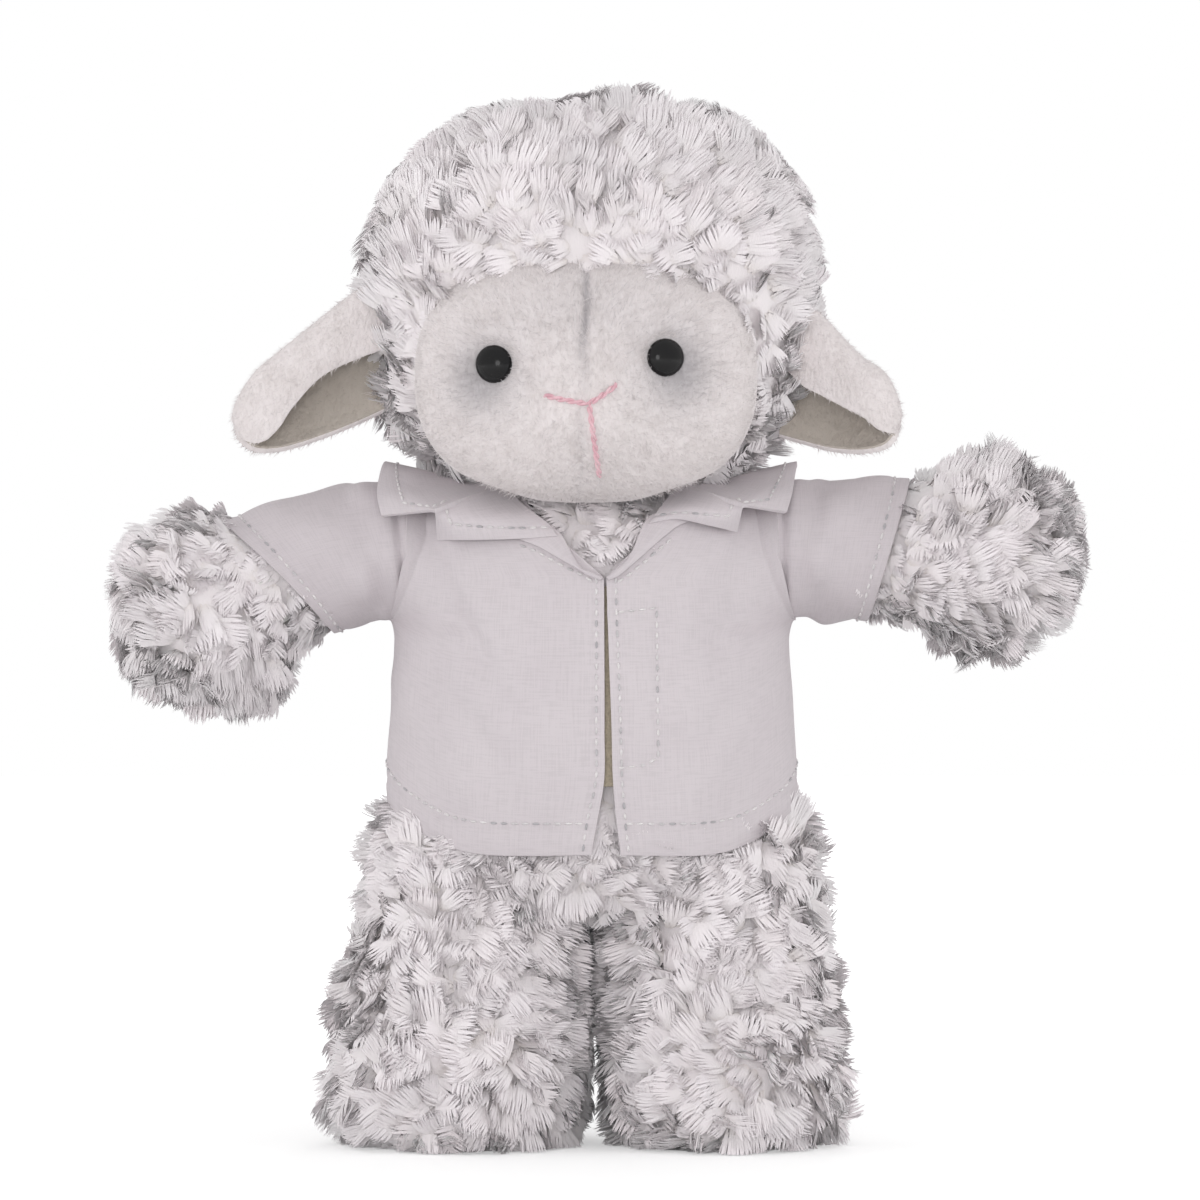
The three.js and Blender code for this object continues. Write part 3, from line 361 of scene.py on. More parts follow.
def arm_point(side, angle, share, inset):
    tip = ARMS[side]["tip"]
    along = mix(inset - ARM_BALL, tip - inset, share)
    outer = arm_radius(side, mix(-ARM_BALL, tip, share))
    radius = np.maximum(outer - inset, outer * share * (1 - share))
    centre, upward = arm_spot(side, along)
    point = centre + upward * (radius * np.cos(angle))[..., None]
    point[..., 1] += radius * np.sin(angle)
    cuff = ARMS[side]["cuff"]
    middle, _ = arm_spot(side, np.array(float(ARM_PAW_AT)))
    return raised(point, middle, smooth(cuff, cuff + 14, along))


LEG = dict(x=28.6, y=4, z=66, ball=25.4, shank=25.2, knee=38, foot=18, forward=4.5, length=30.5)
SOLE_CUT = 0.5
SOLE_POWER = 6
FEET = {"left": (31.4, 26.2), "right": (-31.6, 28.3)}


def leg_point(side, angle, height, inset):
    """A point of the leg's skin; above the hip's middle the ball closes it."""
    foot_x, foot_width = FEET[side]
    hip_x = SIDES[side] * LEG["x"]
    low = smooth(LEG["knee"], LEG["foot"], height)
    down = smooth(LEG["z"], LEG["foot"], height)
    width = mix(LEG["shank"], foot_width, down) - inset
    depth = mix(LEG["shank"], LEG["length"], low) - inset
    under = np.clip((LEG["foot"] - height) / (LEG["foot"] + SOLE_CUT - inset), 0, 1)
    rise = np.clip((height - LEG["z"]) / (LEG["ball"] - inset), 0, 1)
    share = rounded(under, SOLE_POWER) * rounded(rise, 2)
    x, y = oval(angle, width * share, depth * share, 2)
    x, y = mix(hip_x, foot_x, down) + x, LEG["y"] - LEG["forward"] * low + y
    tall = smooth(0, 14, height) * smooth(52, LEG["knee"], height)
    beside = smooth(-LEG["shank"], 0, SIDES[side] * (x - foot_x))
    points = np.stack([x, y, height + 0 * x], -1)
    middle = np.stack([foot_x + 0 * x, LEG["y"] - LEG["forward"] + 0 * y, height + 0 * x], -1)
    return raised(points, middle, tall * beside)


def read(items, key, size=3):
    """A row of numbers from each vertex or corner of a mesh."""
    numbers = np.zeros(len(items) * size)
    items.foreach_get(key, numbers)
    return numbers.reshape(-1, size)


def shaped_sphere(name, place, around=48, rings=32):
    """A sphere whose rings are moved onto a form; place(angle, share) gives points in mm."""
    piece = add("uv_sphere", segments=around, ring_count=rings, radius=1)
    piece.name = name
    co = read(piece.data.vertices, "co")
    angle = np.arctan2(co[:, 0], -co[:, 1])
    share = 0.5 - 0.5 * np.cos(np.pi * (0.5 + np.arcsin(np.clip(co[:, 2], -1, 1)) / np.pi))
    placed = place(angle, share) * MM
    piece.data.vertices.foreach_set("co", placed.ravel())
    piece.data.update()
    bpy.ops.object.mode_set(mode="EDIT")
    bpy.ops.mesh.select_all(action="SELECT")
    bpy.ops.mesh.normals_make_consistent(inside=False)
    bpy.ops.object.mode_set(mode="OBJECT")
    bpy.ops.object.shade_smooth()
    return piece


print("forms ready: torso, head, arms and legs")

# %% [markdown]
# The wool is locks: each is a flat brush of fibres that is thin at its root, fans out and ends
# in a ragged edge. One hair is a long thin leaf that is cut across so that it can bend. A lock
# is a soft flattened core with such hairs laid over both its faces, and a few locks are enough:
# thousands of copies, each bent, turned and sized a little differently, make the pile.

# %% Model a hair and the locks
HAIRS_IN_LOCK = 32
CORE_LENGTH = 0.66
HAIR_WIDTH_SHARE = 0.085


def cut_across(shares):
    """Cuts the mesh that is being edited at heights given as shares of its unit length."""
    for share in shares:
        bpy.ops.mesh.select_all(action="SELECT")
        bpy.ops.mesh.bisect(plane_co=(0, 0, share), plane_no=(0, 0, 1))


def in_fixed_order(points, faces):
    """Each point's rank by place, and the faces ordered by it, because the mesh tools that made
    them may number them otherwise in each run."""
    rank = np.empty(len(points), int)
    rank[np.lexsort(np.round(points, 4).T)] = np.arange(len(points))
    turned = []
    for face in faces:
        first = int(np.argmin(rank[face]))
        turned.append(face[first:] + face[:first])
    return rank, sorted(turned, key=lambda face: rank[face].tolist())


def take_mesh(piece, keep=lambda face: True):
    """The points and faces of a template, which is then removed."""
    points = np.array([v.co for v in piece.data.vertices])
    faces = [list(f.vertices) for f in piece.data.polygons if keep(f)]
    bpy.data.objects.remove(piece)
    rank, faces = in_fixed_order(points, faces)
    return np.round(points[np.argsort(rank)], 5), [rank[face].tolist() for face in faces]


def model_hair():
    """A leaf along +Z: an upright strip that is cut twice and drawn to a narrow tip."""
    hair = add("plane", size=1, location=(0, 0, 0.5), rotation=(math.radians(90), 0, 0))
    bpy.ops.object.transform_apply(location=True, rotation=True)
    bpy.ops.object.mode_set(mode="EDIT")
    cut_across((0.4, 0.75))
    bpy.ops.object.mode_set(mode="OBJECT")
    points, faces = take_mesh(hair)
    points[:, 0] *= np.where(points[:, 2] > 0.99, 0.12, 1 - 0.25 * points[:, 2])
    return points, faces


def facing_out(points, face):
    """A lock's outward side looks towards -Y of the template, and so do all its hairs."""
    a, b, c = (points[k] for k in face[:3])
    return face if np.cross(b - a, c - a)[1] < 0 else face[::-1]


def fan_share(along):
    return 0.32 + 0.68 * np.sin(np.pi / 2 * np.minimum(1, along * 1.05)) ** 1.3


def thick_share(along):
    return 0.4 + 0.6 * np.sin(np.pi * np.minimum(1, along * 0.8 + 0.12))


def model_lock(seed, hair):
    """Points across (-1 to 1), thick (-1 to 1) and along (0 to about 1.2), and their faces."""
    rng = np.random.default_rng(seed)
    core = add("cylinder", vertices=6, radius=1, depth=CORE_LENGTH,
               location=(0, 0, CORE_LENGTH / 2), end_fill_type="TRIFAN")
    bpy.ops.object.transform_apply(location=True)
    bpy.ops.object.mode_set(mode="EDIT")
    cut_across((0.25, 0.5))
    bpy.ops.object.mode_set(mode="OBJECT")
    points, faces = take_mesh(core, keep=lambda face: face.normal.z > -0.9)
    along = points[:, 2].copy()
    at_end = along > CORE_LENGTH - 0.02
    points[:, 0] *= 0.7 * fan_share(along) * np.where(at_end, 0.8, 1)
    points[:, 1] *= 0.75 * thick_share(along) * np.where(at_end, 0.45, 1)
    points[:, 2] += np.where(at_end, rng.uniform(-0.1, 0.08, len(points)), 0)
    parts, quads = [points], list(faces)
    base = len(points)
    hair_points, hair_faces = hair
    for i in range(HAIRS_IN_LOCK):
        face = 1 if i % 3 else -1
        place = (i + rng.uniform(0.1, 0.9)) / HAIRS_IN_LOCK * 2 - 1
        place = np.clip(place * 1.08, -1, 1)
        start = rng.uniform(0.05, 0.45)
        end = rng.uniform(0.94, 1.14) - 0.2 * place**2
        share = start + (end - start) * hair_points[:, 2]
        roll = rng.uniform(-0.5, 0.5)
        wide = hair_points[:, 0] * HAIR_WIDTH_SHARE * rng.uniform(1.2, 2.4)
        across = place * fan_share(share) + rng.uniform(-0.12, 0.12) * (share - start)
        lift = -face * (0.75 * thick_share(share) * np.sqrt(1.05 - place**2 * 0.8) + 0.12)
        lift = lift * np.where(share > 0.85, 0.75, 1) + rng.uniform(-0.35, 0.35) * (share - start)
        parts.append(np.stack(
            [across + wide * math.cos(roll), lift + 2 * wide * math.sin(roll), share], -1))
        quads += [facing_out(parts[-1], f) for f in hair_faces]
        quads[-len(hair_faces):] = [[base + k for k in f] for f in quads[-len(hair_faces):]]
        base += len(hair_points)
    return np.concatenate(parts), quads


HAIR = model_hair()
LOCKS = [model_lock(seed, HAIR) for seed in range(6)]
print("one lock:", len(LOCKS[0][0]), "points and", len(LOCKS[0][1]), "faces")

# %% [markdown]
# The locks are planted over a skin like seedlings: points are thrown on it at random, and one
# that falls too near an earlier one is dropped. Each lock then gets a direction, a length,
# a width and a curl, and its root goes a little way into the skin.

# %% Plant locks on a skin
def skin_arrays(skin):
    """Its points in mm, its faces as fans of triangles and its normals."""
    co = read(skin.data.vertices, "co") / MM
    _, faces = in_fixed_order(co, [list(face.vertices) for face in skin.data.polygons])
    tri = np.array([(face[0], *pair) for face in faces for pair in zip(face[1:], face[2:])])
    return co, tri, read(skin.data.vertices, "normal")


def everywhere(points):
    return np.ones(len(points), bool)


def unchanged(points):
    return np.ones(len(points))


def scatter(skin, spacing, rng, wanted=everywhere):
    """Points in mm, with normals, over a skin, none nearer to another than the spacing."""
    co, tri, normal = skin_arrays(skin)
    a, b, c = (co[tri[:, k]] for k in range(3))
    area = np.linalg.norm(np.cross(b - a, c - a), axis=1) / 2
    count = int(3.5 * area.sum() / spacing**2)
    pick = rng.choice(len(tri), count, p=area / area.sum())
    u, v = np.sqrt(rng.random(count))[:, None], rng.random(count)[:, None]
    shares = (1 - u, u * (1 - v), u * v)
    points = sum(s * co[tri[pick, k]] for k, s in enumerate(shares))
    normals = unit(sum(s * normal[tri[pick, k]] for k, s in enumerate(shares)))
    inside = wanted(points)
    points, normals = points[inside], normals[inside]
    tree = kdtree.KDTree(len(points))
    for i, point in enumerate(points):
        tree.insert(point, i)
    tree.balance()
    kept = np.ones(len(points), bool)
    for i, point in enumerate(points):
        if kept[i]:
            for _, j, _ in tree.find_range(point, spacing):
                if j > i:
                    kept[j] = False
    return points[kept], normals[kept]


def place_locks(points, normals, aim, side, length, width, thick, curl, rng):
    """Bends and copies a lock to every point. All arrays have one row for each lock."""
    aim = unit(aim)
    side = unit(side - aim * (side * aim).sum(1, keepdims=True))
    flat = np.cross(side, aim)
    curl = np.where(np.abs(curl) < 0.02, 0.02, curl)
    kind = rng.integers(0, len(LOCKS), len(points))
    tone = rng.random(len(points))
    made_points, made_faces, made_along, made_tone, made_skin = [], [], [], [], []
    base = 0
    for k, (shape, faces) in enumerate(LOCKS):
        rows = np.flatnonzero(kind == k)
        if not len(rows):
            continue
        along = shape[None, :, 2]
        bend, reach = curl[rows, None], length[rows, None]
        deep = shape[None, :, 1] * thick[rows, None] / 2
        out = np.sin(bend * along) / bend * reach - np.sin(bend * along) * deep
        over = (1 - np.cos(bend * along)) / bend * reach + np.cos(bend * along) * deep
        across = shape[None, :, 0] * width[rows, None] / 2
        made = (
            points[rows, None, :]
            + aim[rows, None, :] * out[..., None]
            + side[rows, None, :] * over[..., None]
            + flat[rows, None, :] * across[..., None]
        )
        count = len(shape)
        offsets = base + count * np.arange(len(rows))
        for size in (3, 4):
            block = np.array([f for f in faces if len(f) == size], int).reshape(-1, size)
            if len(block):
                made_faces.append((offsets[:, None, None] + block[None]).reshape(-1, size))
        made_points.append(made.reshape(-1, 3))
        made_along.append(np.broadcast_to(along, made.shape[:2]).ravel())
        made_tone.append(np.repeat(tone[rows], count))
        made_skin.append(np.repeat(normals[rows], count, axis=0))
        base += count * len(rows)
    return (np.concatenate(made_points), made_faces, np.concatenate(made_skin),
            np.concatenate(made_along), np.concatenate(made_tone))


def set_values(mesh, **values):
    """Gives each point a number, or all of them the same one, for every name."""
    for key, value in values.items():
        made = mesh.attributes.new(key, "FLOAT", "POINT")
        numbers = np.broadcast_to(value, len(mesh.vertices)).astype(np.float32)
        made.data.foreach_set("value", numbers)


def mesh_piece(name, points, faces, **values):
    """A mesh object from arrays in mm, with one number per point for each named value."""
    mesh = bpy.data.meshes.new(name)
    sizes = np.concatenate([np.full(len(block), block.shape[1]) for block in faces])
    corners = np.concatenate([block.ravel() for block in faces])
    mesh.vertices.add(len(points))
    mesh.vertices.foreach_set("co", (points * MM).astype(np.float32).ravel())
    mesh.loops.add(len(corners))
    mesh.loops.foreach_set("vertex_index", corners.astype(np.int32))
    mesh.polygons.add(len(sizes))
    mesh.polygons.foreach_set("loop_start", (np.cumsum(sizes) - sizes).astype(np.int32))
    mesh.update(calc_edges=True)
    set_values(mesh, **values)
    piece = bpy.data.objects.new(name, mesh)
    scene.collection.objects.link(piece)
    return piece


SOFT_SHARE = 0.86
FACING_GAIN = 2.2


def soften(pile, outwards):
    """Turns the shading normals towards the skin's, as light that strays between hairs does."""
    mesh = pile.data
    mesh.polygons.foreach_set("use_smooth", np.ones(len(mesh.polygons), bool))
    own = np.zeros(len(mesh.vertices) * 3, np.float32)
    mesh.vertices.foreach_get("normal", own)
    own = own.reshape(-1, 3)
    facing = np.clip((own * outwards).sum(1, keepdims=True) * FACING_GAIN, -1, 1)
    soft = own * (1 - SOFT_SHARE * np.abs(facing)) + outwards * facing * SOFT_SHARE
    mesh.normals_split_custom_set_from_vertices(unit(soft))


def join_pieces(name, *pieces):
    """One piece from several, which keeps their attributes."""
    only(*pieces)
    bpy.ops.object.join()
    pieces[0].name = pieces[0].data.name = name
    return pieces[0]


# %% [markdown]
# The wool's colour carries painted shade: it is painted greyer and a little yellow towards the
# roots, where shade falls between the locks, and whiter at the tips. Each lock also has its own
# tone, and fine streaks run along it. The mesh carries how far along a lock each point is, so
# the material can follow that.

# %% Wool material
def principled(name, colour, roughness, sheen=0.0, specular=0.3):
    material = bpy.data.materials.new(name)
    material.use_nodes = True
    shader = material.node_tree.nodes["Principled BSDF"]
    shader.inputs["Base Color"].default_value = (*colour, 1)
    shader.inputs["Roughness"].default_value = roughness
    shader.inputs["Sheen Weight"].default_value = sheen
    shader.inputs["Sheen Roughness"].default_value = 0.6
    shader.inputs["Specular IOR Level"].default_value = specular
    return material, material.node_tree, shader


def node(tree, kind, **settings):
    made = tree.nodes.new(kind)
    for key, value in settings.items():
        setattr(made, key, value)
    return made


def attribute(tree, name):
    return node(tree, "ShaderNodeAttribute", attribute_name=name).outputs["Fac"]


def noise(tree, scale, detail=4.0, stretch=None):
    """Noise on the object's own metres; stretch squeezes the pattern along its axes."""
    place = node(tree, "ShaderNodeTexCoord").outputs["Object"]
    if stretch:
        mapping = node(tree, "ShaderNodeMapping")
        mapping.inputs["Scale"].default_value = stretch
        link(tree, (place, mapping.inputs["Vector"]))
        place = mapping.outputs[0]
    texture = node(tree, "ShaderNodeTexNoise")
    texture.inputs["Scale"].default_value = scale
    texture.inputs["Detail"].default_value = detail
    link(tree, (place, texture.inputs["Vector"]))
    return texture.outputs["Fac"]


def ramp(tree, value, *stops):
    """A colour ramp through (place, (r, g, b)) stops."""
    made = node(tree, "ShaderNodeValToRGB")
    link(tree, (value, made.inputs[0]))
    elements = made.color_ramp.elements
    while len(elements) < len(stops):
        elements.new(0.5)
    for element, (place, colour) in zip(elements, stops):
        element.position = place
        element.color = (*colour, 1)
    return made.outputs["Color"]


def multiply_colour(tree, first, second, share=1.0):
    made = node(tree, "ShaderNodeMix", data_type="RGBA", blend_type="MULTIPLY")
    made.inputs[0].default_value = share
    link(tree, (first, made.inputs[6]), (second, made.inputs[7]))
    return made.outputs[2]


def bump(tree, shader, height, strength, distance):
    made = node(tree, "ShaderNodeBump")
    made.inputs["Strength"].default_value = strength
    made.inputs["Distance"].default_value = distance
    link(tree, (height, made.inputs["Height"]), (made.outputs[0], shader.inputs["Normal"]))


WOOL_TIP = (0.915, 0.862, 0.884)
WOOL_MIDDLE = (0.91, 0.862, 0.873)
# painted shade: the roots' colour is darker and yellower for the shade that falls between the
# locks
WOOL_ROOT_SHADE = (0.85, 0.79, 0.765)


def wool_material():
    material, tree, shader = principled("curly_wool", WOOL_TIP, 0.95, sheen=1.0, specular=0.1)
    # the ramp along a lock paints shade towards its roots
    depth = ramp(tree, attribute(tree, "along"),
                 (0.0, WOOL_ROOT_SHADE), (0.4, WOOL_MIDDLE), (0.8, WOOL_TIP), (1.0, WOOL_TIP))
    tone = ramp(tree, attribute(tree, "tone"),
                (0.0, (0.96, 0.95, 0.945)), (0.5, (0.99, 0.985, 0.985)), (1.0, (1, 1, 1)))
    colour = multiply_colour(tree, depth, tone)
    link(tree, (colour, shader.inputs["Base Color"]))
    bump(tree, shader, noise(tree, 2200, 2.0, stretch=(1, 1, 0.3)), 0.3, 0.0002)
    return material


WOOL = wool_material()

# %% [markdown]
# Each stuffed piece is now a skin with its locks. Their direction is what gives a fleece its
# look: here it wanders over the skin in slow waves, leans downwards a little, and each lock
# strays from it, so that locks cross and part as on the real toy.

# %% Grow the wool
def flow(points, normals, down, rng, stray):
    """Directions along the skin: a slow wave, a pull downwards and each lock's own stray."""
    x, y, z = np.moveaxis(points, -1, 0)
    wave = np.stack([
        np.sin(y / 9 + z / 13),
        np.sin(z / 11 + x / 8 + 1.7),
        np.sin(x / 10 - y / 12 + 4.1) - down,
    ], -1)
    wave += rng.normal(0, stray, points.shape)
    return unit(wave - normals * (wave * normals).sum(1, keepdims=True))


LOCK_THICKNESS = 2.2
ROOT_SUNK = 0.8


def plant(skin, spacing, length, width=8.0, stand=0.6, down=0.4, stray=0.8, wanted=everywhere,
          size=unchanged, push=None, limit=None, seed=1):
    """A skin's locks, as a piece of their own."""
    rng = np.random.default_rng(seed)
    points, normals = scatter(skin, spacing, rng, wanted)
    count = len(points)
    along = flow(points, normals, down, rng, stray)
    if push is not None:
        along = unit(along + push(points, normals))
    upright = stand * rng.uniform(0.7, 1.5, (count, 1))
    aim = normals * upright + along
    side = along * rng.uniform(0.2, 1, (count, 1)) - normals * 0.5
    side = side + rng.normal(0, 0.35, (count, 3))
    share = rng.uniform(0.72, 1.25, count) * size(points)
    curl = rng.uniform(0.05, 0.65, count) * np.where(rng.random(count) < 0.75, 1, -1)
    wide = width * rng.uniform(0.7, 1.25, count) * np.minimum(1, share + 0.2)
    thick = LOCK_THICKNESS * rng.uniform(0.8, 1.3, count) * np.minimum(1, share)
    made, faces, outwards, reach, tone = place_locks(
        points - normals * ROOT_SUNK, normals, aim, side, length * share, wide, thick, curl, rng)
    if limit is not None:
        made = limit(made)
    print("  ", skin.name, count, "locks")
    pile = mesh_piece(skin.name + "_pile", made, faces, along=reach, tone=tone)
    soften(pile, outwards)
    return pile


def finish_wool(name, body, nodes, skin, pile):
    """Joins a skin and its locks into the piece that stands for the CAD nodes."""
    # the bare skin between the locks gets a colour near the roots' painted shade
    set_values(skin.data, along=0.4, tone=0.6)
    skin.data.materials.clear()
    piece = join_pieces(name, skin, pile)
    piece.data.materials.append(WOOL)
    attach(piece, body)
    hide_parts(*nodes)
    print(name, len(piece.data.polygons), "faces")
    return piece


GROUND_GAP = 0.25


def above_ground(made):
    made[:, 2] = np.maximum(made[:, 2], GROUND_GAP)
    return made


TRIM_SHARE = 0.6


def trimmed(reach, sign):
    """A trim as with shears: what stands out sideways beyond a reach is drawn back."""
    def trim(made):
        beyond = made[:, 0] * sign - reach
        made[:, 0] -= sign * np.maximum(0, beyond) * (1 - TRIM_SHARE)
        return made

    return trim


CORE_INSET = 2.0
LEG_LENGTH = 9.0


def on_own_side(sign):
    """Keeps a leg's wool on its side of a wavy parting between the legs."""
    def limit(made):
        parting = sign * 0.8 * np.sin(made[:, 1] / 2.6 + made[:, 2] / 7) + 0.12
        outward = made[:, 0] * sign - parting
        made[:, 0] = sign * (parting + np.where(outward < 0, 0.02 * outward, outward))
        return above_ground(made)

    return limit


def leg_core(side):
    top = LEG["z"] + LEG["ball"] - CORE_INSET
    return lambda angle, share: leg_point(side, angle, mix(CORE_INSET, top, share), CORE_INSET)


def below_hem(points):
    return points[:, 2] < 75 + 11 * smooth(40, 47, np.abs(points[:, 0]))


def between_legs(points, normals):
    """Fills the gap between the thighs with locks that lean inwards and forwards."""
    x, y, z = np.moveaxis(points, -1, 0)
    near = smooth(20, 8, np.abs(x)) * smooth(18, 34, z) * smooth(66, 54, z)
    inwards = np.stack([-np.sign(x), np.full(len(points), -0.5), 0 * near], -1)
    return (normals + 1.3 * inwards * smooth(12, -4, y)[:, None]) * near[:, None]


for side, sign in SIDES.items():
    skin = shaped_sphere("leg_core_" + side, leg_core(side))
    pile = plant(skin, 2.3, LEG_LENGTH, wanted=below_hem, push=between_legs,
                 limit=on_own_side(sign), seed=11 + sign)
    finish_wool("leg_wool_" + side, "leg_" + side, [f"leg_skin_{side}"], skin, pile)

# %% [markdown]
# The head is a hood of the longest wool. It is brushed up and away from the face, so the locks
# beside the face get a push outwards from its middle, and on top they stand tallest: there
# the photograph shows two soft peaks with a dip between them.

# %% Head wool
WOOL_ABOVE = 156


def beside_face(points):
    x, y, z = np.moveaxis(points, -1, 0)
    return ((y > -8) | (face_share(x, z) > 0.89)) & (z > WOOL_ABOVE)


def away_from_face(points, normals):
    x, y, z = np.moveaxis(points, -1, 0)
    away = np.stack([x - FACE["x"], 0 * x, z - FACE["z"] + 6], -1)
    clear = smooth(1.0, 1.28, face_share(x, z))
    front = (smooth(30, -20, y) * (0.15 + 0.85 * clear))[:, None]
    return unit(away - normals * (away * normals).sum(1, keepdims=True)) * 1.5 * front


def head_size(points):
    x, z = points[:, 0], points[:, 2]
    peaks = 0.12 * np.exp(-((x - 9) / 11) ** 2) + 0.08 * np.exp(-((x + 19) / 7) ** 2)
    near_face = smooth(1.2, 1.0, face_share(x, z)) * smooth(0, -20, points[:, 1])
    return (0.94 + peaks * smooth(225, 245, z)) * (1 - 0.22 * near_face)


# distance to the sheep's left and height of the wool's outline, as the photograph shows it
CROWN = [
    (-60, 205), (-50, 226), (-43, 236), (-36, 243), (-27, 247.5), (-18, 250.5), (-9, 248.5),
    (0, 252), (8, 255), (16, 254.5), (26, 251.5), (35, 247.5), (44, 238.5), (51, 226), (60, 205),
]


def under_the_crown(made):
    beyond = made[:, 2] - table_curve(CROWN, 1, made[:, 0])
    made[:, 2] -= 0.55 * np.maximum(0, beyond)
    return made


JAW = dict(width=33, depth=19, height=17.5, y=-12, z=174, power=2.3)


def jaw_point(angle, share):
    """A lower form below the hood, on which the wool beside the chin grows."""
    tilt = 2 * share - 1
    around = rounded(tilt, JAW["power"])
    width, depth, height = (JAW[key] - CORE_INSET for key in ("width", "depth", "height"))
    x, y = oval(angle, width * around, depth * around, JAW["power"])
    return np.stack([x, JAW["y"] + y, JAW["z"] + tilt * height], -1)


def beside_jaw(points):
    x, y, z = np.moveaxis(points, -1, 0)
    return ((y > -20) | (face_share(x, z) > 0.92)) & (z > WOOL_ABOVE) & (y < 2)


skin = shaped_sphere(
    "head_core", lambda angle, share: head_point(angle, 2 * share - 1, CORE_INSET), 64, 44)
pile = plant(skin, 2.5, 9.6, width=8.4, stand=0.46, down=-0.1, stray=0.6, wanted=beside_face,
             size=head_size, push=away_from_face, limit=under_the_crown, seed=3)
jaw = shaped_sphere("jaw_core", jaw_point, 40, 24)
jaw_pile = plant(jaw, 2.4, 8.0, width=7.0, stand=0.5, down=0.2, stray=0.6, wanted=beside_jaw,
                 push=away_from_face, seed=4)
skin = join_pieces("head_core", skin, jaw)
pile = join_pieces("head_pile", pile, jaw_pile)
finish_wool("head_wool_pile", "head", ["head_wool"], skin, pile)

# %% [markdown]
# The paws are the arms' wool below the cuffs. Inside the sleeve the skin stays bare, because
# nothing of it is seen and the cloth lies close around it.

# %% Arm wool
SLEEVE_INSET = 1.2


def arm_core(side):
    """The arm's skin, a little nearer to the surface inside the sleeve."""
    own = ARMS[side]

    def place(angle, share):
        along = mix(-ARM_BALL, own["tip"], share)
        bare = smooth(own["cuff"] - 14, own["cuff"] - 4, along)
        return arm_point(side, angle, share, mix(SLEEVE_INSET, CORE_INSET, bare))

    return place


def past_cuff(side):
    """Millimetres beyond the slanting cuff; the cuff's upper edge is the longer one."""
    own = ARMS[side]
    centre, upward = arm_spot(side, np.array(float(own["cuff"])))
    heading = math.radians(own["start"] + (own["end"] - own["start"]) * own["cuff"] / own["tip"])
    away = np.array([SIDES[side] * math.cos(heading), 0, math.sin(heading)])

    def beyond(points):
        up = ((points - centre) @ upward) / ARM_WRIST
        return (points - centre) @ away - own["slant"] * np.clip(up, -1, 1)

    return beyond


def towards_paw(side):
    heading = math.radians(ARMS[side]["end"])
    away = np.array([[SIDES[side] * math.cos(heading), 0, math.sin(heading)]]) * 0.9
    return lambda points, normals: away


for side, sign in SIDES.items():
    beyond = past_cuff(side)
    skin = shaped_sphere("arm_core_" + side, arm_core(side))
    pile = plant(skin, 2.3, 8.8, wanted=lambda points: beyond(points) > -3, push=towards_paw(side),
                 size=lambda points: 0.5 + 0.45 * smooth(-2, 7, beyond(points)), down=0.1,
                 limit=trimmed(ARMS[side]["reach"], sign), seed=21 + sign)
    finish_wool("arm_wool_" + side, "arm_" + side, [f"arm_skin_{side}"], skin, pile)

# %% [markdown]
# The torso's wool shows in the coat's neck and below its hem, so full locks grow there, shorter
# at the neck. Behind the fronts, where an open coat would show it, they are fewer and pressed
# flat, and the rest of the skin stays bare.

# %% Torso wool and tail
PRESSED_LIFT = -0.4
HEM_Z = 80
NECK_Z = 136


def out_of_the_coat(points):
    open_half = 1.5 + 1.1 * np.maximum(0, points[:, 2] - NECK_Z)
    neck = (points[:, 2] > NECK_Z) & (np.abs(points[:, 0] - 2) < open_half) & (points[:, 1] < 2)
    return neck | (points[:, 2] < HEM_Z)


def torso_size(points):
    neck = mix(0.78, 1.1, smooth(148, 153, points[:, 2]))
    return np.where(points[:, 2] > NECK_Z, neck, mix(0.95, 0.6, smooth(62, HEM_Z, points[:, 2])))


def torso_core(angle, share):
    """Rings of the torso's skin, with both its poles on the axis."""
    points = torso_point(angle, mix(TORSO[0][0] + 1, TORSO[-1][0] - 0.5, share), -CORE_INSET)
    pole = (share * (1 - share) < 1e-6)[:, None]
    return points * np.where(pole, (0, 0, 1), 1) + np.where(pole, (0, TORSO_Y, 0), 0)


skin = shaped_sphere("torso_core", torso_core)
pile = plant(skin, 2.4, 8.0, wanted=out_of_the_coat, size=torso_size, stand=0.55, seed=5,
             limit=above_ground)


def behind_the_fronts(points):
    x, y, z = np.moveaxis(points, -1, 0)
    return (np.abs(x) < 41) & (y < 5) & (z > HEM_Z - 4) & (z < 143)


def pressed_flat(made):
    """Draws what stands out back to just under the coat."""
    width, depth = (table_curve(TORSO, key, made[:, 2]) + PRESSED_LIFT for key in (1, 2))
    x, y = made[:, 0] / width, (made[:, 1] - TORSO_Y) / depth
    reach = (np.abs(x) ** TORSO_POWER + np.abs(y) ** TORSO_POWER) ** (1 / TORSO_POWER)
    beyond = np.maximum(1, reach)
    made[:, 0] /= beyond
    made[:, 1] = TORSO_Y + (made[:, 1] - TORSO_Y) / beyond
    return made


pressed = plant(skin, 3.1, 8.0, stand=0.3, down=0.8, wanted=behind_the_fronts,
                limit=pressed_flat, seed=6)
finish_wool("torso_wool", "torso", ["torso_skin"], skin, pile)
pressed.name = pressed.data.name = "pressed_wool"
pressed.data.materials.append(WOOL)
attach(pressed, "torso")
print(pressed.name, len(pressed.data.polygons), "faces")

TAIL = dict(y=34, z=70, length=21, radius=7.5, lean=math.radians(38), inset=3.0)


def tail_point(angle, share):
    reach = mix(0, TAIL["length"] - TAIL["inset"], share)
    radius = TAIL["radius"] - TAIL["inset"]
    radius = radius * np.sqrt(np.maximum(0, 1 - (2 * share - 1) ** 2)) ** 0.7
    along = np.array([0, math.cos(TAIL["lean"]), -math.sin(TAIL["lean"])])
    up = np.array([0, math.sin(TAIL["lean"]), math.cos(TAIL["lean"])])
    centre = np.array([0, TAIL["y"], TAIL["z"]]) + reach[:, None] * along
    beside = (radius * np.sin(angle))[:, None] * np.array([1, 0, 0])
    return centre + beside - (radius * np.cos(angle))[:, None] * up


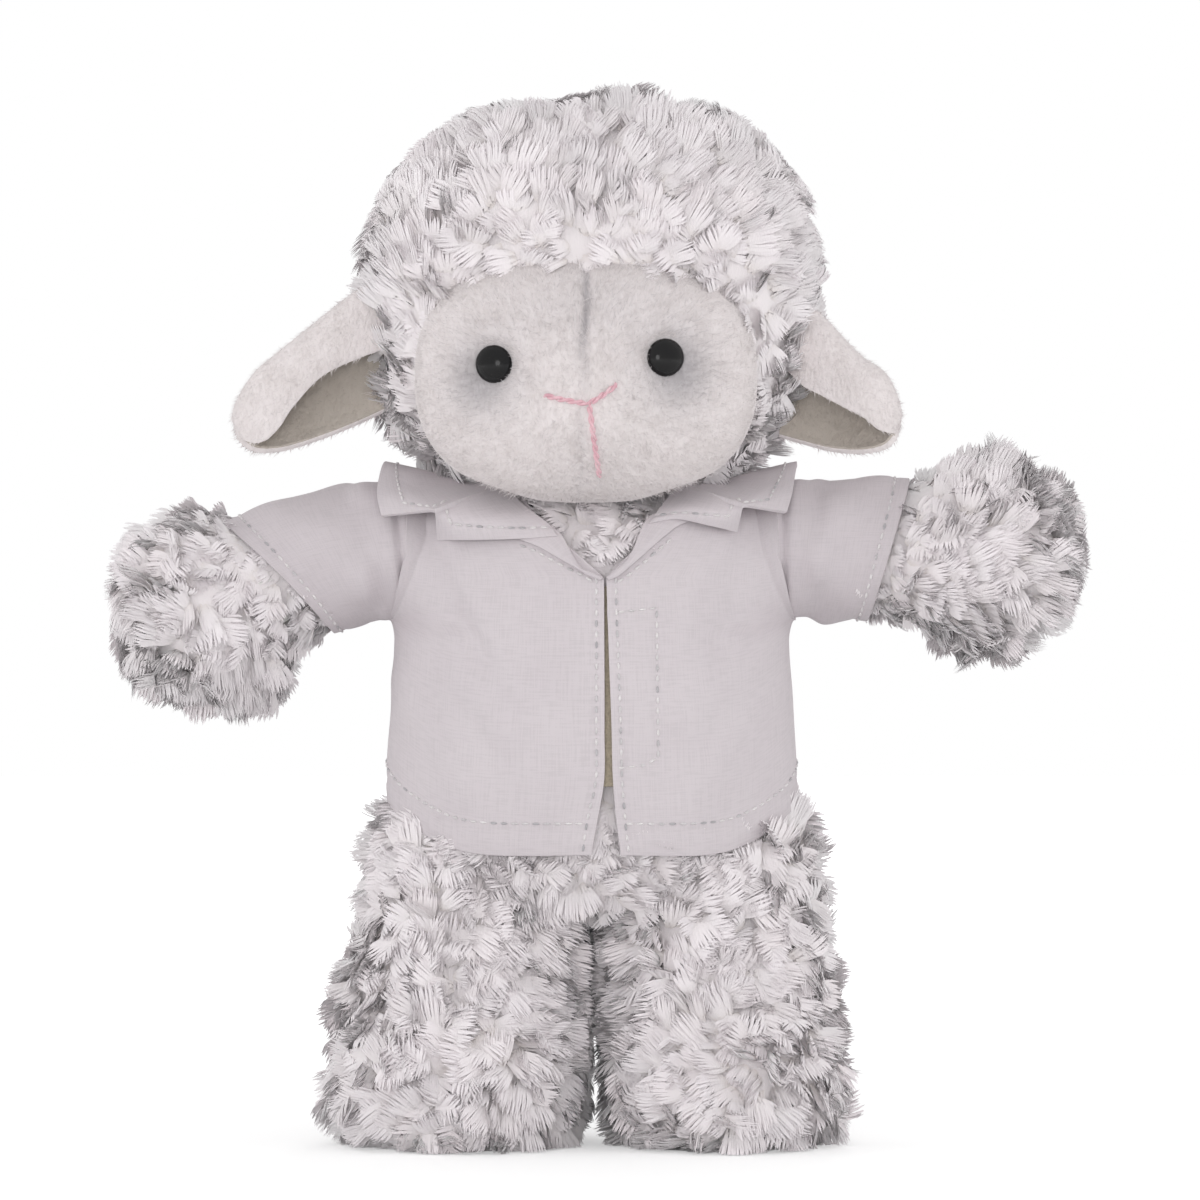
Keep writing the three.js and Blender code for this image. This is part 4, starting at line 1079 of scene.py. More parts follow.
skin = shaped_sphere("tail_core", tail_point, 20, 14)
pile = plant(skin, 2.4, 6.5, width=4.6, push=lambda p, n: np.array([[0, 0.8, -0.9]]), seed=8)
finish_wool("tail_wool", "torso", ["tail"], skin, pile)

# %% [markdown]
# The face is two panels of short-pile cloth, sewn together down the middle and stuffed into a
# dome. It could be sculpted, but a grid that is pressed into an oval and pushed forward by a
# formula gives a clean dome with exactly placed dents for the eyes. The dome is then cut in two
# along the seam, and each half gets the thickness of its cloth.

# %% Face dome
EYES = {"left": (17.1, 188.0), "right": (-22.8, 186.5)}
EYE_RADIUS = 4.5
EYE_HEIGHT = 3.3
DENT_DEPTH = 3.1
DENT_SPREAD = 9.2
SEAM_X = -2.0
SEAM_SLOPE = 0.035
PANEL_STEPS = 110
PANEL_WALL = 1.3
RIM_SHARE = 0.95
RIM_DEPTH = 4.5


def hollow(x, z, spot, wide, tall=None):
    return np.exp(-((x - spot[0]) / wide) ** 2 - ((z - spot[1]) / (tall or wide)) ** 2)


def seam_line(z):
    return SEAM_X + 0.35 * np.sin(z / 3.1) + SEAM_SLOPE * (z - FACE["z"])


def face_depth(x, z):
    """How far forward the face lies: a dome, a muzzle, a dent round each eye and the seam."""
    forward = 19.5 + 5.6 * hollow(x, z, (-0.7, 172.5), 14)
    for side, (eye_x, eye_z) in EYES.items():
        dent = (eye_x + SIDES[side] * 1.5, eye_z - 1.8)
        forward = forward - DENT_DEPTH * hollow(x, z, dent, DENT_SPREAD)
    groove = 0.9 + 1.1 * smooth(178, 196, z)
    forward = forward - groove * np.exp(-((x - seam_line(z)) / 1.5) ** 2)
    return FACE["rim"] - forward * rounded(np.minimum(1, face_share(x, z)), 2.3)


def grid_piece(name, columns, rows, place, flat=None):
    """A grid whose points are laid by place(u, v), in mm, and whose UV map is its flat cut."""
    piece = add("grid", x_subdivisions=columns, y_subdivisions=rows, size=1)
    piece.name = piece.data.name = name
    co = read(piece.data.vertices, "co")
    u, v = co[:, 0] + 0.5, co[:, 1] + 0.5
    piece.data.vertices.foreach_set("co", (place(u, v) * MM).ravel())
    if flat is not None:
        layer = piece.data.uv_layers.active.data
        layer.foreach_set("uv", (read(layer, "uv", 2) * flat).ravel())
    piece.data.update()
    return piece


def modify(piece, kind, **settings):
    """Adds one modifier and applies it."""
    only(piece)
    made = piece.modifiers.new(kind.lower(), kind)
    for key, value in settings.items():
        setattr(made, key, value)
    bpy.ops.object.modifier_apply(modifier=made.name)


def edit(piece, *steps):
    """Runs edit-mode operators on the whole piece."""
    only(piece)
    bpy.ops.object.mode_set(mode="EDIT")
    for step in steps:
        bpy.ops.mesh.select_all(action="SELECT")
        step()
    bpy.ops.object.mode_set(mode="OBJECT")


def smooth_shade(piece):
    only(piece)
    bpy.ops.object.shade_smooth_by_angle(angle=math.radians(50))


def thicken(piece, wall, rim, segments):
    """Gives a sheet its wall, inwards, and rounds its rims; sizes in mm."""
    modify(piece, "SOLIDIFY", thickness=wall * MM, offset=-1)
    modify(piece, "BEVEL", width=rim * MM, segments=segments, limit_method="ANGLE",
           angle_limit=math.radians(60))
    smooth_shade(piece)


def place_face(u, v):
    """The grid's square becomes a disc; its rim turns back and dives into the wool."""
    a, b = 2 * u - 1, 2 * v - 1
    x, z = a * np.sqrt(1 - b * b / 2), b * np.sqrt(1 - a * a / 2)
    reach = np.maximum(np.hypot(x, z), 1e-9)
    c, s = np.abs(x / reach), np.abs(z / reach)
    edge = 1 / (c ** FACE["power"] + s ** FACE["power"]) ** (1 / FACE["power"])
    dome = np.sin(np.pi / 2 * np.minimum(1, reach / RIM_SHARE)) ** 0.9
    x = FACE["x"] + FACE["width"] * x / reach * edge * dome
    z = FACE["z"] + FACE["height"] * z / reach * edge * dome
    clear_of_collar = 0.9 * smooth(163, 156, z) * smooth(10, 22, np.abs(x - FACE["x"]))
    z = z + clear_of_collar
    back = np.maximum(0, reach - RIM_SHARE) / 0.05 * RIM_DEPTH
    return np.stack([x, face_depth(x, z) + back, z], -1)


def cut_beside_seam(piece, sign):
    edit(piece, lambda: bpy.ops.mesh.bisect(
        plane_co=(SEAM_X * MM, 0, FACE["z"] * MM), plane_no=(sign, 0, -SEAM_SLOPE * sign),
        clear_inner=True))
    print("  ", piece.name, "keeps", len(piece.data.vertices), "points")


panels = {}
for side, sign in SIDES.items():
    panel = grid_piece("face_" + side, PANEL_STEPS, PANEL_STEPS, place_face)
    cut_beside_seam(panel, sign)
    normal = np.array([f.normal.y for f in panel.data.polygons]).mean()
    if normal > 0:
        edit(panel, bpy.ops.mesh.flip_normals)
    panels[side] = panel

# %% [markdown]
# Its pile is so short that single hairs hardly show, but they soften the edge of every shape
# and catch the light. One hair is one thin triangle, lying almost flat, and thousands of them
# are strewn over each panel, combed outwards from the seam.

# %% Short pile
def painted_face_shade(points):
    """Less than 1 where the colour gets painted shade: beside each eye, on the brow and in the
    seam.
    """
    x, _, z = np.moveaxis(points, -1, 0)
    shade = np.ones(len(points))
    for side, (eye_x, eye_z) in EYES.items():
        shade -= 0.95 * hollow(x, z, (eye_x + SIDES[side] * 3, eye_z - 3.5), 9.5, 10.5)
    shade -= 0.4 * hollow(x, z, (SEAM_X, 200), 27, 11)
    shade -= (0.25 + 0.3 * smooth(180, 192, z)) * np.exp(-((x - seam_line(z)) / 0.9) ** 2)
    return np.clip(shade, 0, 1)


def short_pile(skin, spacing, length, comb, wanted=everywhere, stand=0.5, wide=0.24,
               shade=unchanged, seed=1):
    """Thin leaning triangles over a skin; comb(points) gives the way that they lie."""
    rng = np.random.default_rng(seed)
    points, normals = scatter(skin, spacing, rng, wanted)
    count = len(points)
    lie = comb(points) + rng.normal(0, 0.45, (count, 3))
    lie = unit(lie - normals * (lie * normals).sum(1, keepdims=True))
    aim = unit(lie + normals * stand * rng.uniform(0.5, 1.6, (count, 1)))
    across = unit(np.cross(aim, normals)) * wide / 2
    roots = points - normals * 0.15
    reach = length * rng.uniform(0.6, 1.3, (count, 1))
    made = np.stack([roots - across, roots + across, roots + aim * reach], 1).reshape(-1, 3)
    facing = np.cross(made[1::3] - made[0::3], made[2::3] - made[0::3])
    faces = np.arange(3 * count).reshape(-1, 3)
    turned = (facing * normals).sum(1) < 0
    faces[turned] = faces[turned][:, ::-1]
    # each hair's tone carries painted shade from the shade function
    tone = np.repeat(rng.uniform(0.4, 1, count) * shade(points), 3)
    pile = mesh_piece(skin.name + "_pile", made, [faces],
                      along=np.tile([0.0, 0.0, 1.0], count), tone=tone)
    pile.data.polygons.foreach_set("use_smooth", np.ones(count, bool))
    pile.data.normals_split_custom_set_from_vertices(np.repeat(normals, 3, axis=0))
    print("  ", skin.name, count, "hairs")
    return pile


def with_pile(skin, pile, material, name, shade=unchanged):
    """Joins a sheet and its pile into one piece."""
    # the sheet's tone carries painted shade from the shade function
    set_values(skin.data, along=0.45, tone=0.7 * shade(read(skin.data.vertices, "co") / MM))
    skin.data.materials.clear()
    piece = join_pieces(name, skin, pile)
    piece.data.materials.append(material)
    return piece


def fleece_material(name, deep, light, scale=900):
    material, tree, shader = principled(name, light, 0.92, sheen=0.2, specular=0.15)
    # painted shade: the first colour, at the hairs' roots, is darker for the shade deep in the
    # pile
    depth = ramp(tree, attribute(tree, "along"), (0.0, deep), (0.6, light), (1.0, light))
    # the tone ramp's dark low end paints shade beside the eyes, on the brow and in the seam
    tone = ramp(tree, attribute(tree, "tone"), (0.0, (0.56, 0.565, 0.585)),
                (0.4, (0.87, 0.868, 0.875)), (0.7, (0.98, 0.975, 0.975)), (1.0, (1, 1, 1)))
    patches = ramp(tree, noise(tree, 170, 5.0), (0.32, (0.93, 0.925, 0.92)), (0.62, (1, 1, 1)))
    colour = multiply_colour(tree, multiply_colour(tree, depth, tone), patches)
    link(tree, (colour, shader.inputs["Base Color"]))
    bump(tree, shader, noise(tree, scale, 4.0, stretch=(1, 1, 0.45)), 0.7, 0.0008)
    return material


FLEECE = fleece_material("short_fleece", (0.78, 0.725, 0.72), (0.875, 0.822, 0.822))


def away_from_seam(points):
    return np.stack([points[:, 0] - SEAM_X, 0 * points[:, 0], (points[:, 2] - 178) * 0.8], -1) / 25


def on_the_dome(points):
    clear = face_share(points[:, 0], points[:, 2]) < 0.985
    for eye_x, eye_z in EYES.values():
        clear &= np.hypot(points[:, 0] - eye_x, points[:, 2] - eye_z) > EYE_RADIUS * 0.86
    return clear


def beside_the_nose(side):
    """The pile that stands against the inner and upper edge of an eye and hides its rim."""
    eye_x, eye_z = EYES[side]

    def wanted(points):
        x, z = (points[:, 0] - eye_x) * SIDES[side], points[:, 2] - eye_z
        reach = np.hypot(x, z)
        return (reach > 5.0) & (reach < 5.9) & (x < 2.5) & (z > -x * 0.2 - 2.5)

    return wanted


for side, panel in panels.items():
    skin_copy = panel.copy()
    skin_copy.data = panel.data.copy()
    scene.collection.objects.link(skin_copy)
    skin_copy.name = "face_front_" + side
    pile = short_pile(skin_copy, 0.55, 2.5, away_from_seam, wanted=on_the_dome, shade=painted_face_shade,
                      seed=31 + SIDES[side])
    lashes = short_pile(skin_copy, 0.3, 1.5, away_from_seam, wanted=beside_the_nose(side),
                        stand=1.6, wide=0.3, seed=51 + SIDES[side])
    pile = join_pieces("face_pile_" + side, pile, lashes)
    bpy.data.objects.remove(skin_copy)
    modify(panel, "SOLIDIFY", thickness=PANEL_WALL * MM, offset=-1)
    smooth_shade(panel)
    piece = with_pile(panel, pile, FLEECE, "face_" + side, shade=painted_face_shade)
    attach(piece, "head")
    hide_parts("face_panel_" + side)
    print(piece.name, len(piece.data.polygons), "faces")

# %% [markdown]
# The eyes are safety eyes: a glossy black dome with a thin rim, pushed through the cloth. Half
# a sphere is flattened to the dome's height, its open edge is drawn down and in, and the button
# is set on the face along the face's own normal.

# %% Eyes
def glossy_eye_material():
    material, tree, shader = principled("glossy_eye", (0.004, 0.004, 0.005), 0.12, specular=0.12)
    shader.inputs["Coat Weight"].default_value = 0.22
    shader.inputs["Coat Roughness"].default_value = 0.06
    worn = node(tree, "ShaderNodeMapRange")
    for value, number in zip(worn.inputs[1:5], (0.35, 0.7, 0.09, 0.2)):
        value.default_value = number
    link(tree, (noise(tree, 700, 5.0), worn.inputs[0]))
    link(tree, (worn.outputs[0], shader.inputs["Roughness"]))
    tint = ramp(tree, noise(tree, 120, 2.0),
                (0.3, (0.004, 0.004, 0.005)), (0.8, (0.011, 0.010, 0.010)))
    link(tree, (tint, shader.inputs["Base Color"]))
    return material


def face_normal(x, z, step=3.0):
    across = face_depth(x + step, z) - face_depth(x - step, z)
    upward = face_depth(x, z + step) - face_depth(x, z - step)
    return Vector((float(across), -2 * step, float(upward))).normalized()


EYE_RIM = 0.7
EYE_STANDS_OFF = 0.5
# how far the button's open edge is drawn down, in mm, and how narrow it gets, step by step
EYE_EDGE = ((0.35, 0.985), (0.3, 0.93), (0.1, 0.8))
BLACK = glossy_eye_material()
for side, (eye_x, eye_z) in EYES.items():
    button = add("uv_sphere", segments=48, ring_count=32, radius=EYE_RADIUS * MM)
    button.name = button.data.name = "eye_button_" + side
    edit(button, lambda: bpy.ops.mesh.bisect(
        plane_co=(0, 0, 0), plane_no=(0, 0, 1), clear_inner=True))
    button.scale.z = (EYE_HEIGHT - EYE_RIM) / EYE_RADIUS
    bpy.ops.object.transform_apply(scale=True)
    bpy.ops.object.mode_set(mode="EDIT")
    bpy.ops.mesh.select_all(action="DESELECT")
    bpy.ops.mesh.select_non_manifold()
    for drop, share in EYE_EDGE:
        bpy.ops.mesh.extrude_edges_move(TRANSFORM_OT_translate={"value": (0, 0, -drop * MM)})
        bpy.ops.transform.resize(value=(share, share, 1))
    bpy.ops.mesh.fill()
    bpy.ops.mesh.select_all(action="SELECT")
    bpy.ops.mesh.normals_make_consistent(inside=False)
    bpy.ops.object.mode_set(mode="OBJECT")
    out = face_normal(eye_x, eye_z)
    seat = Vector((eye_x, float(face_depth(eye_x, eye_z)), eye_z)) * MM
    seat = seat + out * EYE_STANDS_OFF * MM
    turned = out.to_track_quat("Z", "Y").to_matrix().to_4x4()
    button.data.transform(Matrix.Translation(seat) @ turned)
    smooth_shade(button)
    button.data.materials.append(BLACK)
    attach(button, "head")
    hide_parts("eye_" + side)
    print(button.name, "looks towards", [round(x, 2) for x in out])

# %% [markdown]
# Nose and mouth are three stitches of pink two-ply yarn. Each ply is a tube along a helix that
# winds round the stitch's path, half a turn apart from the other, and the path follows the face
# and dives into it at both ends, as a stitch does.

# %% Yarn stitches
PLY_RADIUS = 0.38
PLY_TWIST = 5.0
PINK_COLOUR = (0.80, 0.50, 0.555)
NOSE = (-0.7, 176.9)
STITCHES = {
    "nose_stitch_left": (NOSE, (6.0, 181.6)),
    "nose_stitch_right": (NOSE, (-11.2, 179.0)),
    "mouth_stitch": ((-0.7, 177.3), (1.9, 159.4)),
}


def yarn_material():
    material, tree, shader = principled("pink_yarn", PINK_COLOUR, 0.85, sheen=0.3, specular=0.2)
    colour = ramp(tree, noise(tree, 500, 4.0),
                  (0.3, (0.68, 0.37, 0.43)), (0.55, PINK_COLOUR), (0.8, (0.86, 0.62, 0.66)))
    link(tree, (colour, shader.inputs["Base Color"]))
    bump(tree, shader, noise(tree, 3000, 3.0), 0.6, 0.0002)
    return material


def stitch_path(start, end, count=60):
    share = np.linspace(0, 1, count)
    bow = np.sin(np.pi * share)
    x = mix(start[0], end[0], share)
    z = mix(start[1], end[1], share) - 0.25 * bow
    sunk = 1.6 * (smooth(0.09, 0, share) + smooth(0.91, 1, share))
    return np.stack([x, face_depth(x, z) - 0.3 + sunk, z], -1)


def ply(name, path, phase):
    """A tube along the helix round a path, as a curve that becomes a mesh."""
    along = unit(np.gradient(path, axis=0))
    side = unit(np.cross(along, (0, -1, 0)))
    up = np.cross(side, along)
    length = np.concatenate([[0], np.cumsum(np.linalg.norm(np.diff(path, axis=0), axis=1))])
    turn = 2 * np.pi * length / PLY_TWIST + phase
    points = path + PLY_RADIUS * 0.9 * (side * np.cos(turn)[:, None] + up * np.sin(turn)[:, None])
    curve = bpy.data.curves.new(name, "CURVE")
    curve.dimensions = "3D"
    curve.bevel_depth = PLY_RADIUS * MM
    curve.bevel_resolution = 2
    curve.use_fill_caps = True
    spline = curve.splines.new("POLY")
    spline.points.add(len(points) - 1)
    spline.points.foreach_set("co", np.column_stack([points * MM, np.ones(len(points))]).ravel())
    made = bpy.data.objects.new(name, curve)
    scene.collection.objects.link(made)
    only(made)
    bpy.ops.object.convert(target="MESH")
    return bpy.context.active_object


PINK = yarn_material()
for name, (start, end) in STITCHES.items():
    path = stitch_path(start, end)
    plies = [ply(name + "_ply", path, phase) for phase in (0, math.pi)]
    yarn = join_pieces("yarn_" + name, *plies)
    yarn.data.materials.clear()
    yarn.data.materials.append(PINK)
    smooth_shade(yarn)
    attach(yarn, "head")
    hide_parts(name)
    print(yarn.name, len(yarn.data.polygons), "faces")

# %% [markdown]
# Each ear is two layers of cloth, folded over along its top: the upper edge hangs forward as a
# flap, and below it the hollow shows the lining, a pale beige cloth whose colour is painted
# darker with the hollow's shade. Three lines that were read off the photograph - the top ridge,
# the flap's edge and the lower edge - meet at the tip. A grid is laid through them, once for the
# outer cloth and once, a little inside, for the lining.

# %% Ears
EAR_LINES = {
    "left": dict(
        top=[(48, 203.5), (54.6, 198.4), (59.1, 193.5), (64, 188.4), (69.2, 184.6),
             (72, 178.8), (72.8, 174.5)],
        flap=[(46, 187.5), (50.3, 182.7), (55, 180.0), (60, 177.2), (64.8, 174.6),
              (68.2, 171.8), (71.5, 171.2)],
        low=[(45, 171), (51, 169.3), (56.8, 167.8), (62, 167.2), (66.5, 167.4),
             (70, 168.5), (72.3, 171.0)],
        sweep=-9, flap_out=5.0, hollow=5.5),
    "right": dict(
        top=[(49, 208), (57, 203.6), (65.1, 197.2), (73.2, 190.6), (79.9, 184.8),
             (84.0, 178.2), (85.0, 174.0)],
        flap=[(48, 192), (57.5, 188.4), (65.0, 184.4), (71.4, 177.4), (75.4, 171.5),
              (79.5, 168.8), (83.8, 170.4)],
        low=[(47, 178.5), (54, 175.2), (61, 172.2), (69.3, 169.2), (75.8, 167.6),
             (81, 167.9), (84.6, 171.0)],
        sweep=-5, flap_out=5.5, hollow=5.0),
}
EAR_FOLD = 0.42
# how far outside the lines each layer lies, and its wall
OUTER_LIFT, OUTER_WALL = 1.4, 1.4
LINING_LIFT, LINING_WALL = -0.55, 0.95


def along_line(line, share):
    """A smooth curve through a line's spots, one array for each of their coordinates."""
    keys = np.linspace(0, 1, len(line))
    table = [(key, *spot) for key, spot in zip(keys, line)]
    return [table_curve(table, i + 1, share) for i in range(len(line[0]))]


def ear_layer(side, inset):
    own, sign = EAR_LINES[side], SIDES[side]

    def surface(u, v):
        top, flap, low = (along_line(own[key], u) for key in ("top", "flap", "low"))
        swell = np.sin(np.pi * np.clip(0.12 + 0.88 * u, 0, 1)) ** 0.55
        front = np.clip(v / EAR_FOLD, 0, 1)
        back = np.clip((v - EAR_FOLD) / (1 - EAR_FOLD), 0, 1)
        on_flap = v < EAR_FOLD
        rise = np.sin(np.pi / 2 * front)
        fall = 1 - np.cos(np.pi / 2 * back) ** 1.1
        x = np.where(on_flap, mix(flap[0], top[0], rise), mix(top[0], low[0], fall))
        z = np.where(on_flap, mix(flap[1], top[1], rise), mix(top[1], low[1], fall))
        y = np.where(on_flap, -own["flap_out"] * swell * np.cos(np.pi / 2 * front),
                     own["hollow"] * swell * np.sin(np.pi * back) ** 0.8)
        return np.stack([sign * x, EAR_Y + own["sweep"] * smooth(0, 1, u) + y, z], -1)

    def place(u, v):
        u, v = np.clip(u, 0, 1) * 0.985, np.asarray(v, float)
        step = 0.01
        du = surface(np.clip(u + step, 0, 1), v) - surface(np.clip(u - step, 0, 1), v)
        dv = surface(u, np.clip(v + step, 0, 1)) - surface(u, np.clip(v - step, 0, 1))
        normal = unit(np.cross(du, dv)) * sign
        return surface(u, v) + normal * inset

    return place


def out_along_ear(side):
    return lambda points: np.tile([SIDES[side] * 0.7, 0.0, -0.7], (len(points), 1))


def looks_outwards(layer, side):
    """Whether a layer's faces look out of the ear, read off at one spot of its flap."""
    spot = np.array([0.5]), np.array([0.2])
    on_ear = ear_layer(side, 0.0)(*spot)
    outwards = ear_layer(side, 2.0)(*spot) - on_ear
    normals = np.array([face.normal for face in layer.data.polygons])
    centres = np.array([face.center for face in layer.data.polygons]) / MM
    near = np.argmin(np.linalg.norm(centres - on_ear, axis=1))
    return normals[near] @ outwards[0] > 0


# painted shade: the lining's pale beige is painted darker for the shade in the ear's hollow
SHADED_LINING = fleece_material("ear_lining", (0.47, 0.42, 0.37), (0.60, 0.545, 0.49))
for side, sign in SIDES.items():
    outer = grid_piece("ear_outer_skin", 44, 56, ear_layer(side, OUTER_LIFT))
    inner = grid_piece("ear_inner_skin", 44, 56, ear_layer(side, LINING_LIFT))
    piles = []
    for layer, spacing, turn, wall in (
            (outer, 0.5, False, OUTER_WALL), (inner, 0.7, True, LINING_WALL)):
        if looks_outwards(layer, side) == turn:
            edit(layer, bpy.ops.mesh.flip_normals)
        piles.append(short_pile(layer, spacing, 1.7, out_along_ear(side), seed=41 + sign))
        thicken(layer, wall, 0.42 * wall, 3)
    for layer, pile, material, name, node_name, slot in (
            (outer, piles[0], FLEECE, "ear_back_", "ear_outer_", "fleece"),
            (inner, piles[1], SHADED_LINING, "ear_inside_", "ear_lining_", "ear_lining")):
        piece = with_pile(layer, pile, material, name + side)
        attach(piece, "ear_" + side)
        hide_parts(node_name + side)
        print(piece.name, len(piece.data.polygons), "faces")

# %% [markdown]
# The coat is thin cotton that hangs from the shoulders round the torso. It could be simulated,
# but its cut lines must stay where the photograph shows them, so the cloth is laid by a formula:
# rings round the torso at the wool's height, soft waves towards the hem, and the creases that
# run down from the armholes. Every other piece of the coat is laid on this same surface.

# %% Coat surface
# ring, half width, half depth and height of the torso under the coat
COAT = [
    (0, 0, 0, 55), (1, 31, 23, 57.5), (2, 43.5, 31.5, 68), (3, 46.4, 34.2, 86),
    (4, 45.6, 33.6, 106), (5, 44.2, 32, 126), (6, 43.2, 30, 141), (7, 40.5, 26.5, 150.5),
    (8, 33, 21, 154.2), (9, 18, 12.5, 154.6), (10, 0, 0, 154.4),
]
COAT_ROOM = 2.3
NECK_LEVEL = 8.45
HEM_FRONT, HEM_SIDE, HEM_BACK = 71.5, 83.5, 74
V_BOTTOM = 136.4
SIDE_SEAM = math.radians(93)
CLOTH = 0.8
CLOTH_RIM = 0.22
LEVELS = np.linspace(1, 9, 801)
HEIGHTS = np.maximum.accumulate(table_curve(COAT, 3, LEVELS))
# height and distance to the sheep's left of each front's free edge
FRONT_EDGES = {
    "left": [(71, 6.8), (78, 5.9), (87.5, 5.0), (101, 4.6), (112, 4.2), (136.4, 3.4)],
    "right": [(71, -0.3), (80, 1.4), (87.5, 2.7), (101, 2.9), (112, 2.9), (136.4, 2.8)],
}
# from x, z to x, z, half width and height of each crease, as the photograph shows them
CREASES = [
    (-37, 147, -27, 117, 3.2, -1.3), (-33, 147, -18, 110, 3.2, 1.0), (-47, 124, -20, 99, 4.5, 0.8),
    (-47, 112, -29, 86, 4.0, 0.7), (-24, 108, -12, 84, 4.0, 0.5), (-40, 118, -24, 96, 2.6, -0.5),
    (35, 147, 30, 119, 3.0, -0.8), (46, 124, 21, 103, 4.0, 0.8), (40, 110, 24, 84, 4.5, 0.6),
    (29, 146, 22, 124, 3.0, 0.6), (44, 113, 27, 97, 2.6, -0.45),
    (5, 128.1, 15.4, 129.3, 0.9, -0.3), (15.3, 129.3, 15.7, 94, 0.9, -0.35),
    (4.6, 91.3, 12.2, 92.1, 0.9, -0.3), (12.2, 92.1, 15.7, 94, 0.9, -0.3),
]
BACK_CREASES = [
    (-30, 147, -20, 100, 4.0, 0.9), (-12, 146, -9, 92, 4.5, 0.7), (16, 146, 11, 96, 4.5, 0.8),
    (33, 146, 24, 104, 4.0, 0.8), (-40, 122, -22, 88, 4.5, 0.6), (42, 120, 25, 86, 4.5, 0.6),
]


def level_at(height):
    return np.interp(height, HEIGHTS, LEVELS)


def crease_lift(x, z, creases):
    lift = 0
    for x0, z0, x1, z1, wide, high in creases:
        dx, dz = x1 - x0, z1 - z0
        share = np.clip(((x - x0) * dx + (z - z0) * dz) / (dx * dx + dz * dz), 0, 1)
        gap = np.hypot(x - x0 - share * dx, z - z0 - share * dz)
        lift = lift + high * np.exp(-(gap / wide) ** 2)
    return lift


def rings_at(angle, level, lift):
    width, depth, height = (table_curve(COAT, key, level) for key in (1, 2, 3))
    rise = table_curve(COAT, 3, level + 0.02) - table_curve(COAT, 3, level - 0.02)
    widen = table_curve(COAT, 1, level + 0.02) - table_curve(COAT, 1, level - 0.02)
    run = np.hypot(rise, widen)
    hang = smooth(7.6, level_at(HEM_SIDE), level)
    total = COAT_ROOM + lift + 1.1 * hang * (1 - np.cos(7 * angle)) / 2
    x, y = oval(angle, width + total * rise / run, depth + total * rise / run, TORSO_POWER)
    return np.stack([x, TORSO_Y + y, height - total * widen / run], -1)


def coat_point(angle, level, lift=0.0):
    """The coat's outer face, with its waves and creases, by angle from the front and ring."""
    flat = rings_at(angle, level, lift)
    x, y, z = np.moveaxis(flat, -1, 0)
    front = smooth(6, -6, y)
    ripple = 0.16 * np.sin(x / 4.1 + z / 9.0) * np.sin(z / 7.3 - x / 11.0)
    crease = mix(crease_lift(x, z, BACK_CREASES), crease_lift(x, z, CREASES), front)
    return rings_at(angle, level, lift + crease + ripple)


def angle_across(x, level):
    share = np.clip(x / (table_curve(COAT, 1, level) + COAT_ROOM), -1, 1)
    return np.arcsin(np.sign(share) * np.abs(share) ** (TORSO_POWER / 2))


def hem_height(angle):
    middle = np.where(np.cos(angle) < 0, HEM_BACK, HEM_FRONT)
    return mix(middle, HEM_SIDE, np.abs(np.sin(angle)) ** 5)


def front_edge(side, height):
    """How far to the sheep's left a front's free edge is: up the middle, then out along the V."""
    below = table_curve(FRONT_EDGES[side], 1, height)
    opened = np.clip((height - V_BOTTOM) / (152 - V_BOTTOM), 0, 1.1)
    return mix(below, 2 + SIDES[side] * 17.5, opened)


def on_coat(x, z, lift=0.0):
    """The coat's outer face at a place in the picture."""
    level, across = level_at(z), np.asarray(x, float)
    for _ in range(4):
        spot = coat_point(angle_across(across, level), level, lift)
        level = level_at(table_curve(COAT, 3, level) + z - spot[..., 2])
        across = across + x - spot[..., 0]
    return coat_point(angle_across(across, level), level, lift)


# %% [markdown]
# The sleeves are sewn into round armholes. The shoulder below is a ball that the arm turns on,
# so the armhole is a circle on that ball: the cloth near it is drawn onto the circle, and all
# of it is kept outside the sleeve's tube.

# %% Armholes
ARMHOLE_RADIUS = 17
ARMHOLE_TURNS = ((5.03, 5.3, 6, 7, 8, 8.45), (-88, -48, -8, 24, 62, 88))


def to_armhole(points, sign, level, near, face):
    degrees = np.interp(level, *ARMHOLE_TURNS)
    turn = np.radians(degrees)
    x = 44.3 + 5 * np.clip((-5 - degrees) / 83, 0, 1) ** 0.7
    seam = np.stack([sign * x, SHOULDER[1] + face * ARMHOLE_RADIUS * np.cos(turn),
                     SHOULDER[2] + ARMHOLE_RADIUS * np.sin(turn)], -1)
    weight = smooth(4.75, 5.03, level) * np.clip((near - 0.25) / 0.75, 0, 1) ** 1.35
    points = mix(points, seam, weight[..., None])
    axis = np.stack([sign * np.maximum(sign * points[..., 0], SHOULDER[0]),
                     0 * turn + SHOULDER[1], 0 * turn + SHOULDER[2]], -1)
    away = points - axis
    reach = np.linalg.norm(away, axis=-1, keepdims=True)
    return axis + away * np.maximum(reach, ARMHOLE_RADIUS + 0.2) / np.maximum(reach, 1e-6)


def turned_edge(distance, line):
    """Cloth folded under along an edge: thicker up to its row of stitches, pulled in there."""
    pulled = 0.22 * np.exp(-((distance - line) / 0.8) ** 2)
    return 0.3 * smooth(line + 0.8, line - 0.4, distance) - pulled


HEM_LINE = 4.6
EDGE_LINE = {"left": 1.8, "right": 1.2}


def coat_front(side):
    seam = SIDES[side] * SIDE_SEAM

    def place(u, v):
        hem = hem_height(seam * u)
        level = mix(level_at(hem), NECK_LEVEL, v)
        height = table_curve(COAT, 3, level)
        edge = front_edge(side, height)
        angle = mix(angle_across(edge, level), seam, u)
        lift = turned_edge(height - hem, HEM_LINE) + turned_edge(u * 78, EDGE_LINE[side])
        return to_armhole(coat_point(angle, level, lift), SIDES[side], level, u, -1)

    return place


